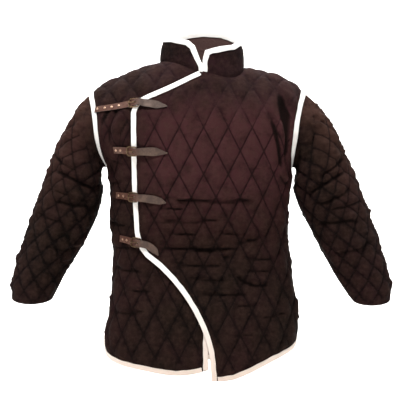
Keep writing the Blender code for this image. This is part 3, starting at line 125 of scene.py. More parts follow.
# ---- shoulder line, seen from the front; x is negative on the wearer's right ----
SHOULDER = table("x z",
    (-0.3, -0.0885),
    (-0.278, -0.07),
    (-0.25, -0.053),
    (-0.19, -0.026),
    (-0.11, 0.0015),
    (0.0, 0.034),
    (0.115, -0.011),
    (0.17, -0.0235),
    (0.221, -0.039),
    (0.26, -0.065),
    (0.29, -0.0915)
)
CHEST_DROP = {"front": 0.200, "back": 0.170}   # from the shoulder line to the full depth of chest or back
CHEST_DEPTH = 0.140

# ---- neck and armholes ----
NECK_HALF = {"right": 0.107, "left": 0.116}
NECK_DEPTH = {"under": 0.105, "outer": 0.105, "back": 0.050}
NECK_REACH = 0.28           # the neckline is looked for down to here below the shoulder seam
NECK_ROUND = {"under": 1.4, "outer": 3.0, "back": 2.2}
SHOULDER_TIP = {"right": -0.2935, "left": 0.2775}
ARMHOLE_BOTTOM = -0.288
ARMHOLE = table("down front back",   # shares, from shoulder tip to side line
    (0.0, 0.0, 0.0),
    (0.2, -0.14, -0.1),
    (0.4, -0.38, -0.24),
    (0.6, -0.56, -0.3),
    (0.76, -0.42, -0.17),
    (0.88, -0.03, 0.13),
    (0.97, 0.44, 0.5),
    (0.994, 0.76, 0.79),
    (1.0, 1.0, 1.0)
)

# ---- front edges, vents and hem ----
UNDER_EDGE = 0.018          # the under front ends here, behind the outer front
VENT_TOP = -0.603
VENT_MARKS = (-0.68, -0.64, VENT_TOP)   # heights of the points up a vent
VENT_SPREAD = 7 * MM        # each edge of a vent has moved this far from the side line at the hem
LAP_EDGE = table("x z",
    (-0.06, -0.074),
    (-0.115, -0.0985),
    (-0.146, -0.112),
    (-0.164, -0.1255),
    (-0.1725, -0.146),
    (-0.173, -0.172),
    (-0.172, -0.2321),
    (-0.1675, -0.3445),
    (-0.163, -0.43),
    (-0.1597, -0.47),
    (-0.1455, -0.5035),
    (-0.102, -0.543),
    (-0.065, -0.583),
    (-0.0276, -0.6356),
    (0.0013, -0.6905),
    (0.0166, -0.7314),
    (0.025, -0.7748)
)
HEM_OUTER = table("s t",
    (0.0294, -0.8315),
    (0.0804, -0.8285),
    (0.13, -0.8105),
    (0.185, -0.7865),
    (0.245, -0.766),
    (0.29, -0.752),
    (0.315, -0.738),
    (0.326, -0.71)
)
HEM_UNDER = table("s t",
    (0.018, -0.805),
    (-0.04, -0.817),
    (-0.09, -0.8155),
    (-0.14, -0.8075),
    (-0.2, -0.7985),
    (-0.26, -0.784),
    (-0.295, -0.766),
    (-0.312, -0.735)
)
HEM_BACK = table("s t",
    (0.0, -0.815),
    (0.12, -0.808),
    (0.22, -0.79),
    (0.27, -0.774),
    (0.295, -0.755),
    (0.307, -0.72)
)

# ---- large folds, as troughs pressed into the whole wall ----
FOLDS = table("side s0 t0 s1 t1 width depth",
    ("front", -0.12, -0.485, 0.12, -0.5, 0.03, 0.005),
    ("front", 0.06, -0.375, 0.3, -0.385, 0.026, 0.003),
    ("front", 0.02, -0.605, 0.2, -0.59, 0.028, 0.004),
    ("front", 0.215, -0.13, 0.245, -0.255, 0.02, 0.0075),
    ("front", -0.215, -0.16, -0.25, -0.25, 0.022, 0.005),
    ("back", -0.15, -0.44, 0.16, -0.455, 0.03, 0.005),
    ("back", -0.22, -0.54, 0.04, -0.52, 0.028, 0.0035),
    ("sleeve_right", 0.06, 0.345, 0.2, 0.33, 0.02, 0.006),
    ("sleeve_right", 0.09, 0.26, 0.21, 0.275, 0.018, 0.004),
    ("sleeve_right", -0.15, 0.3, -0.02, 0.33, 0.02, 0.004),
    ("sleeve_left", 0.07, 0.35, 0.2, 0.32, 0.02, 0.0055),
    ("sleeve_left", 0.08, 0.215, 0.19, 0.24, 0.018, 0.004),
    ("sleeve_left", -0.15, 0.29, -0.03, 0.32, 0.02, 0.004)
)

# ---- sleeves: rings seen from the front, shoulder side first ----
RING = "outer_x outer_z inner_x inner_z depth y dip"
SLEEVES = {
    "right": table(
        RING,
        (-0.3444, -0.1528, -0.267, -0.326, 0.081, 0.0, 0.0),
        (-0.3765, -0.2117, -0.261, -0.356, 0.091, -0.004, 0.0),
        (-0.4033, -0.276, -0.265, -0.388, 0.087, -0.009, 0.0),
        (-0.4275, -0.3457, -0.2755, -0.424, 0.083, -0.014, 0.0),
        (-0.4516, -0.4127, -0.294, -0.464, 0.079, -0.02, 0.0),
        (-0.4717, -0.4744, -0.32, -0.512, 0.075, -0.027, 0.004),
        (-0.488, -0.5333, -0.347, -0.553, 0.071, -0.035, 0.008),
        (-0.501, -0.5856, -0.368, -0.595, 0.067, -0.043, 0.012),
        (-0.5025, -0.625, -0.383, -0.624, 0.061, -0.048, 0.016),
    ),
    "left": table(
        RING,
        (0.323, -0.126, 0.2575, -0.324, 0.081, 0.0, 0.0),
        (0.3545, -0.172, 0.25, -0.35, 0.091, -0.004, 0.0),
        (0.3865, -0.245, 0.2545, -0.376, 0.087, -0.009, 0.0),
        (0.416, -0.313, 0.268, -0.408, 0.083, -0.014, 0.0),
        (0.4425, -0.383, 0.29, -0.452, 0.079, -0.02, 0.0),
        (0.471, -0.462, 0.313, -0.496, 0.075, -0.027, 0.004),
        (0.492, -0.535, 0.343, -0.553, 0.071, -0.035, 0.008),
        (0.504, -0.585, 0.369, -0.596, 0.067, -0.043, 0.012),
        (0.505, -0.628, 0.393, -0.628, 0.06, -0.048, 0.016),
    ),
}
SLEEVE_FADE = 36 * MM                    # its padding comes to full height over this length
CAP_RIB_LEVELS = (156, 152, 148)         # of the 160 steps from cuff to cap
CAP_RIB_POINTS = 18
SLEEVE_START = TAPE_THICK + ARMHOLE_GAP + 3.5 * SEAM_GAP   # sleeve cloth begins beyond the armhole's tape
SLEEVE_RISE = 4 * MM                     # from its first ring to its second at the shoulder tip

# ---- collar ----
NECK_LAP_END = -0.004      # s at which the outer front's neckline meets its lap edge
COLLAR_UNDER_END = 0.010    # s of the collar's end on the under front
COLLAR_OUTER_END = 0.0045   # and on the outer front, where it laps over the first
COLLAR_LEAN = 0.10          # inward lean per unit of height
COLLAR_TUCK = 2 * MM        # the under end is set this far in, and comes out to the neckline
COLLAR_TUCK_EASE = 50 * MM  # over this length
COLLAR_SWELL = 3 * MM       # padding's height in the middle of the collar
COLLAR_TOP = table("share z",   # the top edge, by share of the way from the under end
    (0.08, 0.043),
    (0.13, 0.0515),
    (0.265, 0.0635),
    (0.48, 0.086),
    (0.6, 0.076),
    (0.71, 0.056),
    (0.82, 0.041),
    (0.905, 0.03),
    (0.95, 0.0235)
)
# the front ends' outlines, from the neckline up
UNDER_END = table("in_ up", (0.000, 0.000), (0.001, 0.020), (0.034, 0.062))
OUTER_END = table("in_ up", (0.000, 0.000), (0.001, 0.034), (0.006, 0.056))
PRESSED = 7 * MM            # padded wall under a strap


# ---------------------------------------------------------------- curves and tables

def column(rows, name):
    return np.array([getattr(row, name) for row in rows])


def smooth(x, xs, ys):
    """Cubic curve through the rows (xs, ys), held level beyond both ends."""
    xs = np.asarray(xs, float)
    ys = np.asarray(ys, float)
    x = np.clip(x, xs[0], xs[-1])
    slopes = np.gradient(ys, xs, axis=0)
    i = np.clip(np.searchsorted(xs, x, side="right") - 1, 0, len(xs) - 2)
    width = xs[i + 1] - xs[i]
    u = (x - xs[i]) / width
    if ys.ndim > 1:
        fill = (slice(None),) + (None,) * (ys.ndim - 1)
        u = u[fill]
        width = width[fill]
    a = ys[i] * (1 + 2 * u) * (1 - u) ** 2 + ys[i + 1] * u ** 2 * (3 - 2 * u)
    b = slopes[i] * u * (1 - u) ** 2 - slopes[i + 1] * u ** 2 * (1 - u)
    return a + b * width


def ease(x):
    x = np.clip(x, 0, 1)
    return x * x * (3 - 2 * x)


def unit(vectors):
    return vectors / np.maximum(np.linalg.norm(vectors, axis=-1, keepdims=True), 1e-12)


def chord(points):
    steps = np.linalg.norm(np.diff(points, axis=0), axis=1)
    return np.concatenate(([0.0], np.cumsum(steps)))


def through(points, step=LOOP_STEP):
    """Evenly spaced points on a smooth curve through the given ones."""
    points = np.asarray(points, float)
    run = chord(points)
    fine = smooth(np.linspace(0, run[-1], 400), run, points)
    run = chord(fine)
    marks = np.linspace(0, run[-1], max(1, round(run[-1] / step)) + 1)
    return np.column_stack([np.interp(marks, run, fine[:, k]) for k in range(fine.shape[1])])


def divided(points, step):
    """A polyline's legs cut into equal parts, its corners kept."""
    out = [points[:1]]
    for start, end in zip(points[:-1], points[1:]):
        count = max(1, round(float(np.linalg.norm(end - start)) / step))
        out.append(np.linspace(start, end, count + 1)[1:])
    return np.vstack(out)


def lookup(runs, values, marks):
    """Each row of each table in values, read where that row of runs reaches its mark."""
    at = np.clip((runs < marks[:, None]).sum(axis=1), 1, runs.shape[1] - 1)
    rows = np.arange(len(at))
    low = runs[rows, at - 1]
    share = np.clip((marks - low) / np.maximum(runs[rows, at] - low, 1e-12), 0, 1)
    out = []
    for table in values:
        first = table[rows, at - 1]
        second = table[rows, at]
        weight = share[:, None] if first.ndim > 1 else share
        out.append(first + weight * (second - first))
    return out


def distance(points, path):
    """Distance of each flat point from a polyline."""
    start = path[:-1]
    along = path[1:] - start
    length = np.maximum((along ** 2).sum(axis=1), 1e-18)
    offset = points[:, None, :] - start[None, :, :]
    share = np.clip((offset * along).sum(axis=2) / length, 0, 1)
    return np.linalg.norm(offset - share[:, :, None] * along, axis=2).min(axis=1)


def offset(path, size):
    """A polyline's points moved to its left, with full corners."""
    ahead = unit(np.diff(path, axis=0))
    left = np.column_stack((-ahead[:, 1], ahead[:, 0]))
    before, after = np.vstack((left[:1], left)), np.vstack((left, left[-1:]))
    middle = unit(before + after)
    return path + middle * (size / (middle * before).sum(axis=1))[:, None]


def trimmed(path, start, end):
    """A polyline shortened by a length at either end."""
    run = chord(path)
    marks = run[(run > start + 3 * MM) & (run < run[-1] - end - 3 * MM)]
    marks = np.r_[start, marks, run[-1] - end]
    return np.column_stack([np.interp(marks, run, path[:, k]) for k in range(2)])


def inside(points, loop):
    """Which flat points lie inside a closed loop."""
    x, y = points[:, 0][:, None], points[:, 1][:, None]
    ax, ay = loop[:, 0], loop[:, 1]
    bx, by = np.roll(ax, -1), np.roll(ay, -1)
    crosses = (ay > y) != (by > y)
    rise = np.where(by == ay, 1e-18, by - ay)
    return (crosses & (x < ax + (y - ay) * (bx - ax) / rise)).sum(axis=1) % 2 == 1


# ---------------------------------------------------------------- shells

ARC = np.linspace(0, math.pi / 2, 121)
LEVELS = column(SECTIONS, "z")


def shoulder_height(s):
    """The shoulder line's inner height, s from the middle."""
    return smooth(s, column(SHOULDER, "x"), column(SHOULDER, "z")) - PUFF


def quarter_ring(half, depth, corner):
    """x, y and run along a quarter of a rounded ring, from the centre line to the side."""
    power = 2 / corner[:, None]
    x = half[:, None] * np.sin(ARC) ** power
    y = depth[:, None] * np.clip(np.cos(ARC), 0, 1) ** power
    steps = np.hypot(np.diff(x, axis=1), np.diff(y, axis=1))
    run = np.concatenate((np.zeros((len(x), 1)), np.cumsum(steps, axis=1)), axis=1)
    return x, y, run


def trough(side, st):
    """Depth of the large folds."""
    depth = np.zeros(len(st))
    for fold in FOLDS:
        if fold.side == side:
            path = np.array(((fold.s0, fold.t0), (fold.s1, fold.t1)))
            depth += fold.depth * np.exp(-(distance(st, path) / fold.width) ** 2)
    return depth


class Body:
    """The body's inner face, front or back, as a surface over flat points (s, t)."""

    def __init__(self, side):
        self.side = side
        self.facing = -1 if side == "front" else 1
        self.hand = -self.facing
        self.share = np.sin(ARC)
        self.drop = CHEST_DROP[side] * (1 - np.cos(ARC))
        self.run = chord(np.column_stack((CHEST_DEPTH * self.share, self.drop)))
        self.excess = self.run[-1] - self.drop[-1]

    def top(self, s):
        """t of the shoulder seam."""
        return shoulder_height(s) + self.excess

    def level(self, s, t):
        below = np.clip(self.top(s) - t, 0, None)
        share = np.interp(below, self.run, self.share)
        drop = np.interp(below, self.run, self.drop) + np.clip(below - self.run[-1], 0, None)
        z = shoulder_height(s) - drop
        right = smooth(z, LEVELS, column(SECTIONS, "right"))
        left = smooth(z, LEVELS, column(SECTIONS, "left"))
        half = np.where(s < 0, right, left) - PUFF
        depth = (smooth(z, LEVELS, column(SECTIONS, self.side)) - PUFF) * share
        return z, half, depth, smooth(z, LEVELS, column(SECTIONS, "corner"))

    def form(self, s, t):
        z, half, depth, corner = self.level(s, t)
        x, y, run = quarter_ring(half, depth, corner)
        x, y = lookup(run, (x, y), np.abs(s))
        return np.column_stack((np.where(s < 0, -x, x), self.facing * y, z))

    def frame(self, st):
        """Points and outward normals at flat points."""
        s, t = st[:, 0], st[:, 1]
        across = self.form(s + MM, t) - self.form(s - MM, t)
        up = self.form(s, t + MM) - self.form(s, t - MM)
        normal = unit(np.cross(across, up) * self.hand)
        return self.form(s, t) - normal * trough(self.side, st)[:, None], normal

    def side_line(self, t, sign):
        """s of the side seam at each t."""
        s = np.full(len(t), 0.32 * sign)
        for _ in range(6):
            _, half, depth, corner = self.level(s, t)
            s = sign * quarter_ring(half, depth, corner)[2][:, -1]
        return s

    def seen(self, x, z):
        """Flat points whose outside is seen at (x, z) from the front."""
        s = np.array(x, float)
        t = np.array(z, float)
        for _ in range(8):
            drop = shoulder_height(s) - z
            below = np.interp(drop, self.drop, self.run) + np.clip(drop - self.drop[-1], 0, None)
            t = self.top(s) - below
            _, half, depth, corner = self.level(s, t)
            xs, _, run = quarter_ring(half, depth, corner)
            s = np.sign(x) * lookup(xs, (run,), np.abs(x))[0]
        return np.column_stack((s, t))

    def at_depth(self, s, y):
        """Flat points at s that lie y in front of or behind the shoulder line."""
        out = []
        for one_s, one_y in zip(s, y):
            t = self.top(np.array([one_s]))[0] - np.linspace(0, NECK_REACH, 120)
            depth = np.abs(self.form(np.full(120, one_s), t)[:, 1])
            out.append((one_s, np.interp(one_y, depth, t)))
        return np.array(out)


FRONT = Body("front")
BACK = Body("back")


# ---------------------------------------------------------------- flat outlines

def neckline(shell, part, start, end):
    """From s = start to s = end round the neck."""
    s = np.linspace(start, end, 60)
    power = NECK_ROUND[part]
    half = np.where(s < 0, NECK_HALF["right"], NECK_HALF["left"])
    around = np.clip(1 - (np.abs(s) / half) ** power, 0, 1) ** (1 / power)
    low = shell.at_depth(s, NECK_DEPTH[part] * around)
    low[:, 1] = np.minimum(low[:, 1], shell.top(s) - SEAM_GAP / 2)
    return through(low[np.r_[0:60:3, 59]], CURVED_STEP)


def armhole(shell, sign):
    """From the side seam up to the shoulder tip."""
    tip = SHOULDER_TIP["right" if sign < 0 else "left"]
    top = shell.top(np.array([tip]))[0] - SEAM_GAP / 2
    bottom = shell.side_line(np.array([ARMHOLE_BOTTOM]), sign)[0] - sign * SEAM_GAP / 2
    across = tip + (bottom - tip) * column(ARMHOLE, shell.side)
    down = top + (ARMHOLE_BOTTOM - top) * column(ARMHOLE, "down")
    return through(np.column_stack((across, down))[::-1], CURVED_STEP)


def side_seam(shell, sign):
    """From the vent up to the armhole."""
    last = ARMHOLE_BOTTOM - INSET
    t = np.append(np.linspace(VENT_TOP, last, round((last - VENT_TOP) / LOOP_STEP) + 1), ARMHOLE_BOTTOM)
    return np.column_stack((shell.side_line(t, sign) - sign * SEAM_GAP / 2, t))


def shoulder_seam(shell, tip, neck):
    """Along the shoulder from its tip to the neck."""
    first = tip - math.copysign(INSET, tip)
    s = np.append(tip, np.linspace(first, neck, round(abs(neck - first) / LOOP_STEP) + 1))
    return np.column_stack((s, shell.top(s) - SEAM_GAP / 2))


def hem(shell, rows, sign):
    """From the centre out along the hem and up the vent."""
    vent_t = np.array(VENT_MARKS)
    spread = VENT_SPREAD * (VENT_TOP - vent_t) / (VENT_TOP - rows[0].t) + TAPE_THICK + TAPE_GAP + SEAM_GAP / 2
    vent_s = shell.side_line(vent_t, sign) - sign * spread
    points = [(sign * abs(row.s) if row is not rows[0] else row.s, row.t) for row in rows]
    return through(points + list(zip(vent_s, vent_t)))


# ---------------------------------------------------------------- quilting

class Quilting:
    """Diamond stitch lines over flat points, as a lattice of quarter diamonds."""

    def __init__(self, size, at):
        self.size = size
        self.at = at

    def height(self, st):
        """0 on a stitch line, 1 in the middle of a diamond."""
        u = (st[:, 0] - self.at[0]) / self.size[0]
        v = (st[:, 1] - self.at[1]) / self.size[1]
        return np.sqrt(np.abs(np.sin(math.pi * (u + v)) * np.sin(math.pi * (u - v))))

    def lattice(self, low, high, detail):
        """Lattice points over a box, and the stitch lines between them as pairs of rows.

        Detail is "quarter" for every quarter of a diamond's size, or "stitch" for each diamond's corners,
        centre and the middles of its sides.
        """
        cell = np.array(self.size) / 4
        first = np.floor((low - self.at) / cell).astype(int)
        last = np.ceil((high - self.at) / cell).astype(int)
        rows = {}
        for i in range(first[0], last[0] + 1):
            for j in range(first[1], last[1] + 1):
                if detail != "stitch" or (i + j) % 2 == 0:
                    rows[i, j] = len(rows)
        points = np.array([np.array(key) * cell + self.at for key in rows])
        pairs = []
        for (i, j), row in rows.items():
            if (i - j) % 4 == 0 and (i + 1, j + 1) in rows:
                pairs.append((row, rows[i + 1, j + 1]))
            if (i + j) % 4 == 0 and (i + 1, j - 1) in rows:
                pairs.append((row, rows[i + 1, j - 1]))
        return points, pairs


class Panel:
    """One cut piece: a shell, its named edges in order, and what presses its padding."""

    def __init__(self, shell, edges, bound, quilting=None, detail="quarter", lift=None, puff_share=None,
                 ribs=(), swell=0.0, fade=PUFF_FADE):
        self.shell = shell
        self.edges = edges
        self.bound = bound
        self.quilting = quilting
        self.detail = detail
        self.lift = lift or (lambda st: np.zeros(len(st)))
        self.puff_share = puff_share or (lambda st: np.ones(len(st)))
        self.ribs = ribs
        self.swell = swell
        self.fade = fade
        self.loop = np.concatenate([points[:-1] for points in edges.values()])

    def thickness(self, st):
        """Height of the outer face over the inner one, from padding alone."""
        if self.quilting:
            full = self.quilting.height(st) * self.puff_share(st) * (PUFF - EDGE)
        else:
            full = np.full(len(st), self.swell)
        for name, points in self.edges.items():
            clear = INSET if name in self.bound else 0.0
            full = full * ease((distance(st, points) - clear) / self.fade)
        return EDGE + full

    def frame(self, st):
        """Inner face and outward normal."""
        points, normals = self.shell.frame(st)
        return points + normals * self.lift(st)[:, None], normals

    def edge_frame(self, st):
        """Inner face, outward normal and direction out of the cloth along an edge."""
        points, normals = self.frame(st)
        inward = self.frame(offset(st, MM))[0] - points
        inward = inward - normals * (inward * normals).sum(axis=1, keepdims=True)
        return points, normals, -unit(inward)

    def tape_frame(self, st):
        """The edge's frame with full corners, and the inner face and normal under the tape's inner side."""
        points, normals, out = self.edge_frame(st)
        out = out * (np.linalg.norm(offset(st, MM) - st, axis=1) / MM)[:, None]
        return [points, normals, out, *self.frame(offset(st, TAPE_WIDTH))]

    def bound_runs(self):
        """Bound edges, those that follow each other joined, with their names."""
        names = list(self.edges)
        first = next((k for k, name in enumerate(names) if name not in self.bound), 0)
        runs = []
        for name in names[first:] + names[:first]:
            if name not in self.bound:
                runs.append([])
            elif not runs:
                runs.append([name])
            else:
                runs[-1].append(name)
        return [run for run in runs if run]

    def inset_lines(self):
        """Lines along the inner side of the tape with the places they can be used and their loop rows."""
        lines = []
        starts = dict(zip(self.edges, np.cumsum([0] + [len(part) - 1 for part in self.edges.values()])))
        for names in self.bound_runs():
            parts = [self.edges[name] for name in names]
            points = np.vstack([part[:-1] for part in parts] + [parts[-1][-1:]])
            line = offset(points, INSET)
            others = [other for key, other in self.edges.items() if key not in names]
            room = np.min([distance(line, other) for other in others], axis=0)
            own = distance(line, points) > INSET - LINE_SLACK
            rows = (starts[names[0]] + np.arange(len(points))) % len(self.loop)
            lines.append((line, own & (room > LINE_ROOM) & inside(line, self.loop), rows))
        return lines

    def triangles(self):
        """Flat triangulation that keeps the edge, the tape's inner line and every stitch line."""
        points = [self.loop]
        count = len(self.loop)
        ring = list(range(count))
        pairs = []
        keep_off = [np.vstack((self.loop, self.loop[:1]))]

        def add_line(line, good):
            nonlocal count
            number = np.cumsum(good) - 1 + count
            points.append(line[good])
            both = good[:-1] & good[1:]
            pairs.extend((number[k], number[k + 1]) for k in np.nonzero(both)[0])
            count += int(good.sum())
            if good.any():
                keep_off.append(line[good])

        def has_room(st):
            """Which flat points lie in the panel, clear of every line laid so far."""
            away = np.min([distance(st, line) for line in keep_off if len(line) > 1], axis=0)
            return (away > POINT_ROOM) & inside(st, self.loop)

        for line, good, rows in self.inset_lines():
            number = np.cumsum(good) - 1 + count
            add_line(line, good)
            apart = np.linalg.norm(line[:, None] - self.loop[None], axis=2)
            joined = np.where(apart.min(axis=1) < LINE_JOIN, apart.argmin(axis=1), -1)
            number = np.where(good, number, joined)
            pairs.extend((rows[k], number[k]) for k in range(len(line)) if good[k])
            pairs.extend((rows[k], number[k + 1]) for k in range(len(line) - 1) if number[k + 1] >= 0)
        for rib in self.ribs:
            add_line(rib, has_room(rib))
        quilting = self.quilting or Quilting(PLAIN_LATTICE, (0.0, 0.0))
        lattice, lines = quilting.lattice(self.loop.min(axis=0), self.loop.max(axis=0), self.detail)
        good = has_room(lattice)
        for name in self.bound:
            good &= distance(lattice, self.edges[name]) > INSET + BOUND_ROOM
        number = np.cumsum(good) - 1 + count
        points.append(lattice[good])
        pairs.extend((number[a], number[b]) for a, b in lines if good[a] and good[b])
        flat = [Vector(point) for point in np.concatenate(points)]
        pairs = [(int(a), int(b)) for a, b in pairs]
        out = delaunay_2d_cdt(flat, pairs, [ring], 1, 1e-7)
        return np.array([tuple(v) for v in out[0]]), np.array([tuple(face) for face in out[2]])


# ---------------------------------------------------------------- sleeves

SHARES = np.linspace(-0.5, 0.5, 193)     # of the way round an arm, from its outer line, plus to the front
MIDDLE = len(SHARES) // 2                # row of the outer line
STEPS = 160                              # levels between the cuff and the armhole
SLEEVE_RUN_OUT = 11 * MM                 # the sleeve leaves the armhole straight for up to this length
SLEEVE_TURN_DROP = 80 * MM               # below this drop from the shoulder tip it leaves sideways
CAP_RISE = 120 * MM                      # height of the sleeve's cap, flat
EVENED = 12                              # levels either side over which the flat widths are evened out


class Tube:
    """A sleeve's inner face over flat points (s, w): s round the arm from its outer line, plus to the
    front, and w up from the cuff."""

    def __init__(self, side, front_edge, back_edge):
        self.side = "sleeve_" + side
        self.hand = 1 if side == "right" else -1
        rings = [self.table_ring(row) for row in SLEEVES[side][::-1]]
        self.front_share, front = self.armhole_half(*front_edge)
        self.back_share, back = self.armhole_half(*back_edge)
        for step in (1, 0):
            halves = [self.at_shares(back, step, -SHARES[:MIDDLE + 1]),
                      self.at_shares(front, step, SHARES[MIDDLE + 1:])]
            rings.append(np.vstack(halves))
        rings = np.array(rings)
        levels = []
        totals = []
        for k in range(len(SHARES)):
            run = chord(rings[:, k])
            totals.append(run[-1])
            levels.append(smooth(np.linspace(0, run[-1], STEPS + 1), run, rings[:, k]))
        self.grid = np.stack(levels, axis=1)
        self.total = np.mean(totals) + CAP_RISE / 2 * np.cos(2 * math.pi * SHARES)
        steps = np.linalg.norm(np.diff(self.grid, axis=1), axis=2)
        climb = np.diff(self.total) * np.linspace(0, 1, STEPS + 1)[:, None]
        steps = np.sqrt(np.maximum(steps ** 2 - climb ** 2, (0.3 * steps) ** 2))
        run = np.concatenate((np.zeros((STEPS + 1, 1)), np.cumsum(steps, axis=1)), axis=1)
        run = run - run[:, MIDDLE:MIDDLE + 1]
        near = [run[np.clip(np.arange(STEPS + 1) + shift, 0, STEPS)] for shift in range(-EVENED, EVENED + 1)]
        self.run = np.mean(near, axis=0)

    @staticmethod
    def at_shares(rings, step, shares):
        run = chord(rings[0])
        marks = shares * 2 * run[-1]
        return np.column_stack([np.interp(marks, run, rings[step][:, k]) for k in range(3)])

    @staticmethod
    def table_ring(row):
        outer = np.array((row.outer_x, row.y, row.outer_z))
        inner = np.array((row.inner_x, row.y, row.inner_z))
        half = (outer - inner) / 2
        half = half * (1 - PUFF / np.linalg.norm(half))
        turn = np.linspace(-math.pi, math.pi, 721)[:, None]
        front = np.array((0, PUFF - row.depth, -row.dip))
        points = (outer + inner) / 2 + half * np.cos(turn) + front * np.sin(turn)
        run = chord(points)
        marks = (SHARES + 0.5) * run[-1]
        return np.column_stack([np.interp(marks, run, points[:, k]) for k in range(3)])

    @staticmethod
    def armhole_half(points, normals, outward):
        """Each edge point's share of the way round, and the sleeve's first two rings."""
        aside = np.sign(points[0, 0])
        turn = np.arctan2(normals[:, :1] * aside, outward[:, :1] * aside)
        turn = turn * ease((points[0, 2] - points[:, 2:]) / SLEEVE_TURN_DROP)
        start = points + outward * (SLEEVE_START + EDGE * np.sin(turn))
        away = outward * np.cos(turn) + normals * np.sin(turn)
        run = chord(start)
        return run / run[-1] / 2, (start, start + away * (SLEEVE_RISE + SLEEVE_RUN_OUT * np.sin(turn)))

    def form(self, s, w):
        column_at = np.full(len(s), float(MIDDLE))
        for _ in range(30):
            level = np.clip(w / self.total_at(column_at), 0, 1) * STEPS
            low = np.minimum(level.astype(int), STEPS - 1)
            share = (level - low)[:, None]
            run = self.run[low] * (1 - share) + self.run[low + 1] * share
            index = np.broadcast_to(np.arange(len(SHARES), dtype=float), run.shape)
            column_at = (column_at + lookup(run, (index,), s)[0]) / 2
        left = np.minimum(column_at.astype(int), len(SHARES) - 2)
        part = (column_at - left)[:, None]
        below = self.grid[low, left] * (1 - part) + self.grid[low, left + 1] * part
        above = self.grid[low + 1, left] * (1 - part) + self.grid[low + 1, left + 1] * part
        return below * (1 - share) + above * share

    def total_at(self, column_at):
        return np.interp(column_at, np.arange(len(SHARES)), self.total)

    def frame(self, st):
        s, w = st[:, 0], st[:, 1]
        across = self.form(s + 2 * MM, w) - self.form(s - 2 * MM, w)
        up = self.form(s, w + 2 * MM) - self.form(s, w - 2 * MM)
        normal = unit(np.cross(across, up) * self.hand)
        return self.form(s, w) - normal * trough(self.side, st)[:, None], normal

    def flat(self, level, shares):
        """Flat points at a level, by share of the way round."""
        at = np.interp(shares, SHARES, np.arange(len(SHARES)))
        s = np.interp(at, np.arange(len(SHARES)), self.run[level])
        return np.column_stack((s, self.total_at(at) * level / STEPS))

    def cap_ribs(self):
        """Flat lines under the cap, that hold the bend where the sleeve leaves the armhole."""
        shares = np.linspace(-0.485, 0.485, CAP_RIB_POINTS)
        return tuple(self.flat(level, shares) for level in CAP_RIB_LEVELS)

    def outline(self):
        """Cuff, front of the underarm seam, cap and back of the underarm seam."""
        cuff = self.flat(0, np.linspace(-0.5, 0.5, CUFF_POINTS))
        shares = np.concatenate((self.front_share[::-1], -self.back_share[1:]))
        cap = self.flat(STEPS, shares)
        seams = []
        for sign in (1, -1):
            levels = np.unique(np.linspace(0, STEPS, round(self.total[0] / LOOP_STEP) + 1).astype(int))
            seams.append(np.vstack([self.flat(level, np.array((sign * 0.5,))) for level in levels]))
        for points in (cuff, cap, *seams):
            half = np.abs(points[:, 0]).max()
            points[:, 0] = np.clip(points[:, 0], SEAM_GAP / 2 - half, half - SEAM_GAP / 2)
        for sign, seam in zip((1, -1), seams):
            seam[:, 0] = sign * (np.abs(seam[:, 0]) - SEAM_GAP / 2)
            seam[0] = cuff[-1 if sign > 0 else 0]
            seam[-1] = cap[0 if sign > 0 else -1]
        return {"cuff": cuff, "front seam": seams[0], "cap": cap, "back seam": seams[1][::-1]}


# ---------------------------------------------------------------- collar

class Band:
    """The collar's inner face over flat points (u, h): u along the neckline from the under end, h up."""

    hand = -1

    def __init__(self, points, outward):
        inward = outward * np.array((1, 1, 0))
        inward[1:-1] = inward[:-2] + 2 * inward[1:-1] + inward[2:]
        inward = unit(inward)
        self.normals = unit(np.array((0, 0, COLLAR_LEAN)) - inward)
        overhang = np.clip(-(self.normals * outward).sum(axis=1, keepdims=True), 0, 1)
        start = points + outward * (1.5 * SEAM_GAP + EDGE * overhang)
        run = chord(start)
        tuck = COLLAR_TUCK * (1 - ease(run / COLLAR_TUCK_EASE))
        self.start = start + inward * tuck[:, None]
        self.inward = inward
        self.run = run

    def at(self, values, u):
        return np.column_stack([np.interp(u, self.run, values[:, k]) for k in range(3)])

    def frame(self, st):
        u, h = st[:, 0], st[:, 1]
        inward = self.at(self.inward, u)
        points = self.at(self.start, u) + inward * (COLLAR_LEAN * h)[:, None]
        points[:, 2] += h
        return points, unit(self.at(self.normals, u))

    def outline(self):
        length = self.run[-1]
        top_u = column(COLLAR_TOP, "share") * length
        base = np.interp(top_u, self.run, self.start[:, 2])
        far = TAPE_THICK + TAPE_GAP
        top = np.column_stack((top_u, column(COLLAR_TOP, "z") - base - far))[::-1]
        under = np.column_stack((column(UNDER_END, "in_") + far, column(UNDER_END, "up")))
        outer = np.column_stack((length - far - column(OUTER_END, "in_"), column(OUTER_END, "up")))
        top = through(np.vstack((outer[-1], top, under[-1])), COLLAR_STEPS[0])
        ends = divided(outer, COLLAR_STEPS[1])[:-1], divided(under[::-1], COLLAR_STEPS[1])[1:]
        rim = np.vstack((ends[0], top, ends[1]))
        first, last = rim[-1, 0], rim[0, 0]
        marks = self.run[(self.run > first + INSET + 3 * MM) & (self.run < last - INSET - 3 * MM)]
        along = np.r_[first, first + INSET, marks, last - INSET, last]
        return {"base": np.column_stack((along, np.zeros(len(along)))), "rim": rim}


def cut_s(points, s):
    """The flat points of a path, up to where it reaches s."""
    sign = np.sign(points[-1, 0] - points[0, 0])
    before = points[(points[:, 0] - s) * sign < -2 * MM]
    t = np.interp(s * sign, points[:, 0] * sign, points[:, 1])
    return np.vstack((before, (s, t)))


def lap_edge():
    top = neckline(FRONT, "outer", NECK_HALF["left"], NECK_LAP_END)[-1]
    seen = FRONT.seen(column(LAP_EDGE, "x"), column(LAP_EDGE, "z"))
    return through(np.vstack((top, seen, (HEM_OUTER[0].s, HEM_OUTER[0].t))), LAP_STEP)


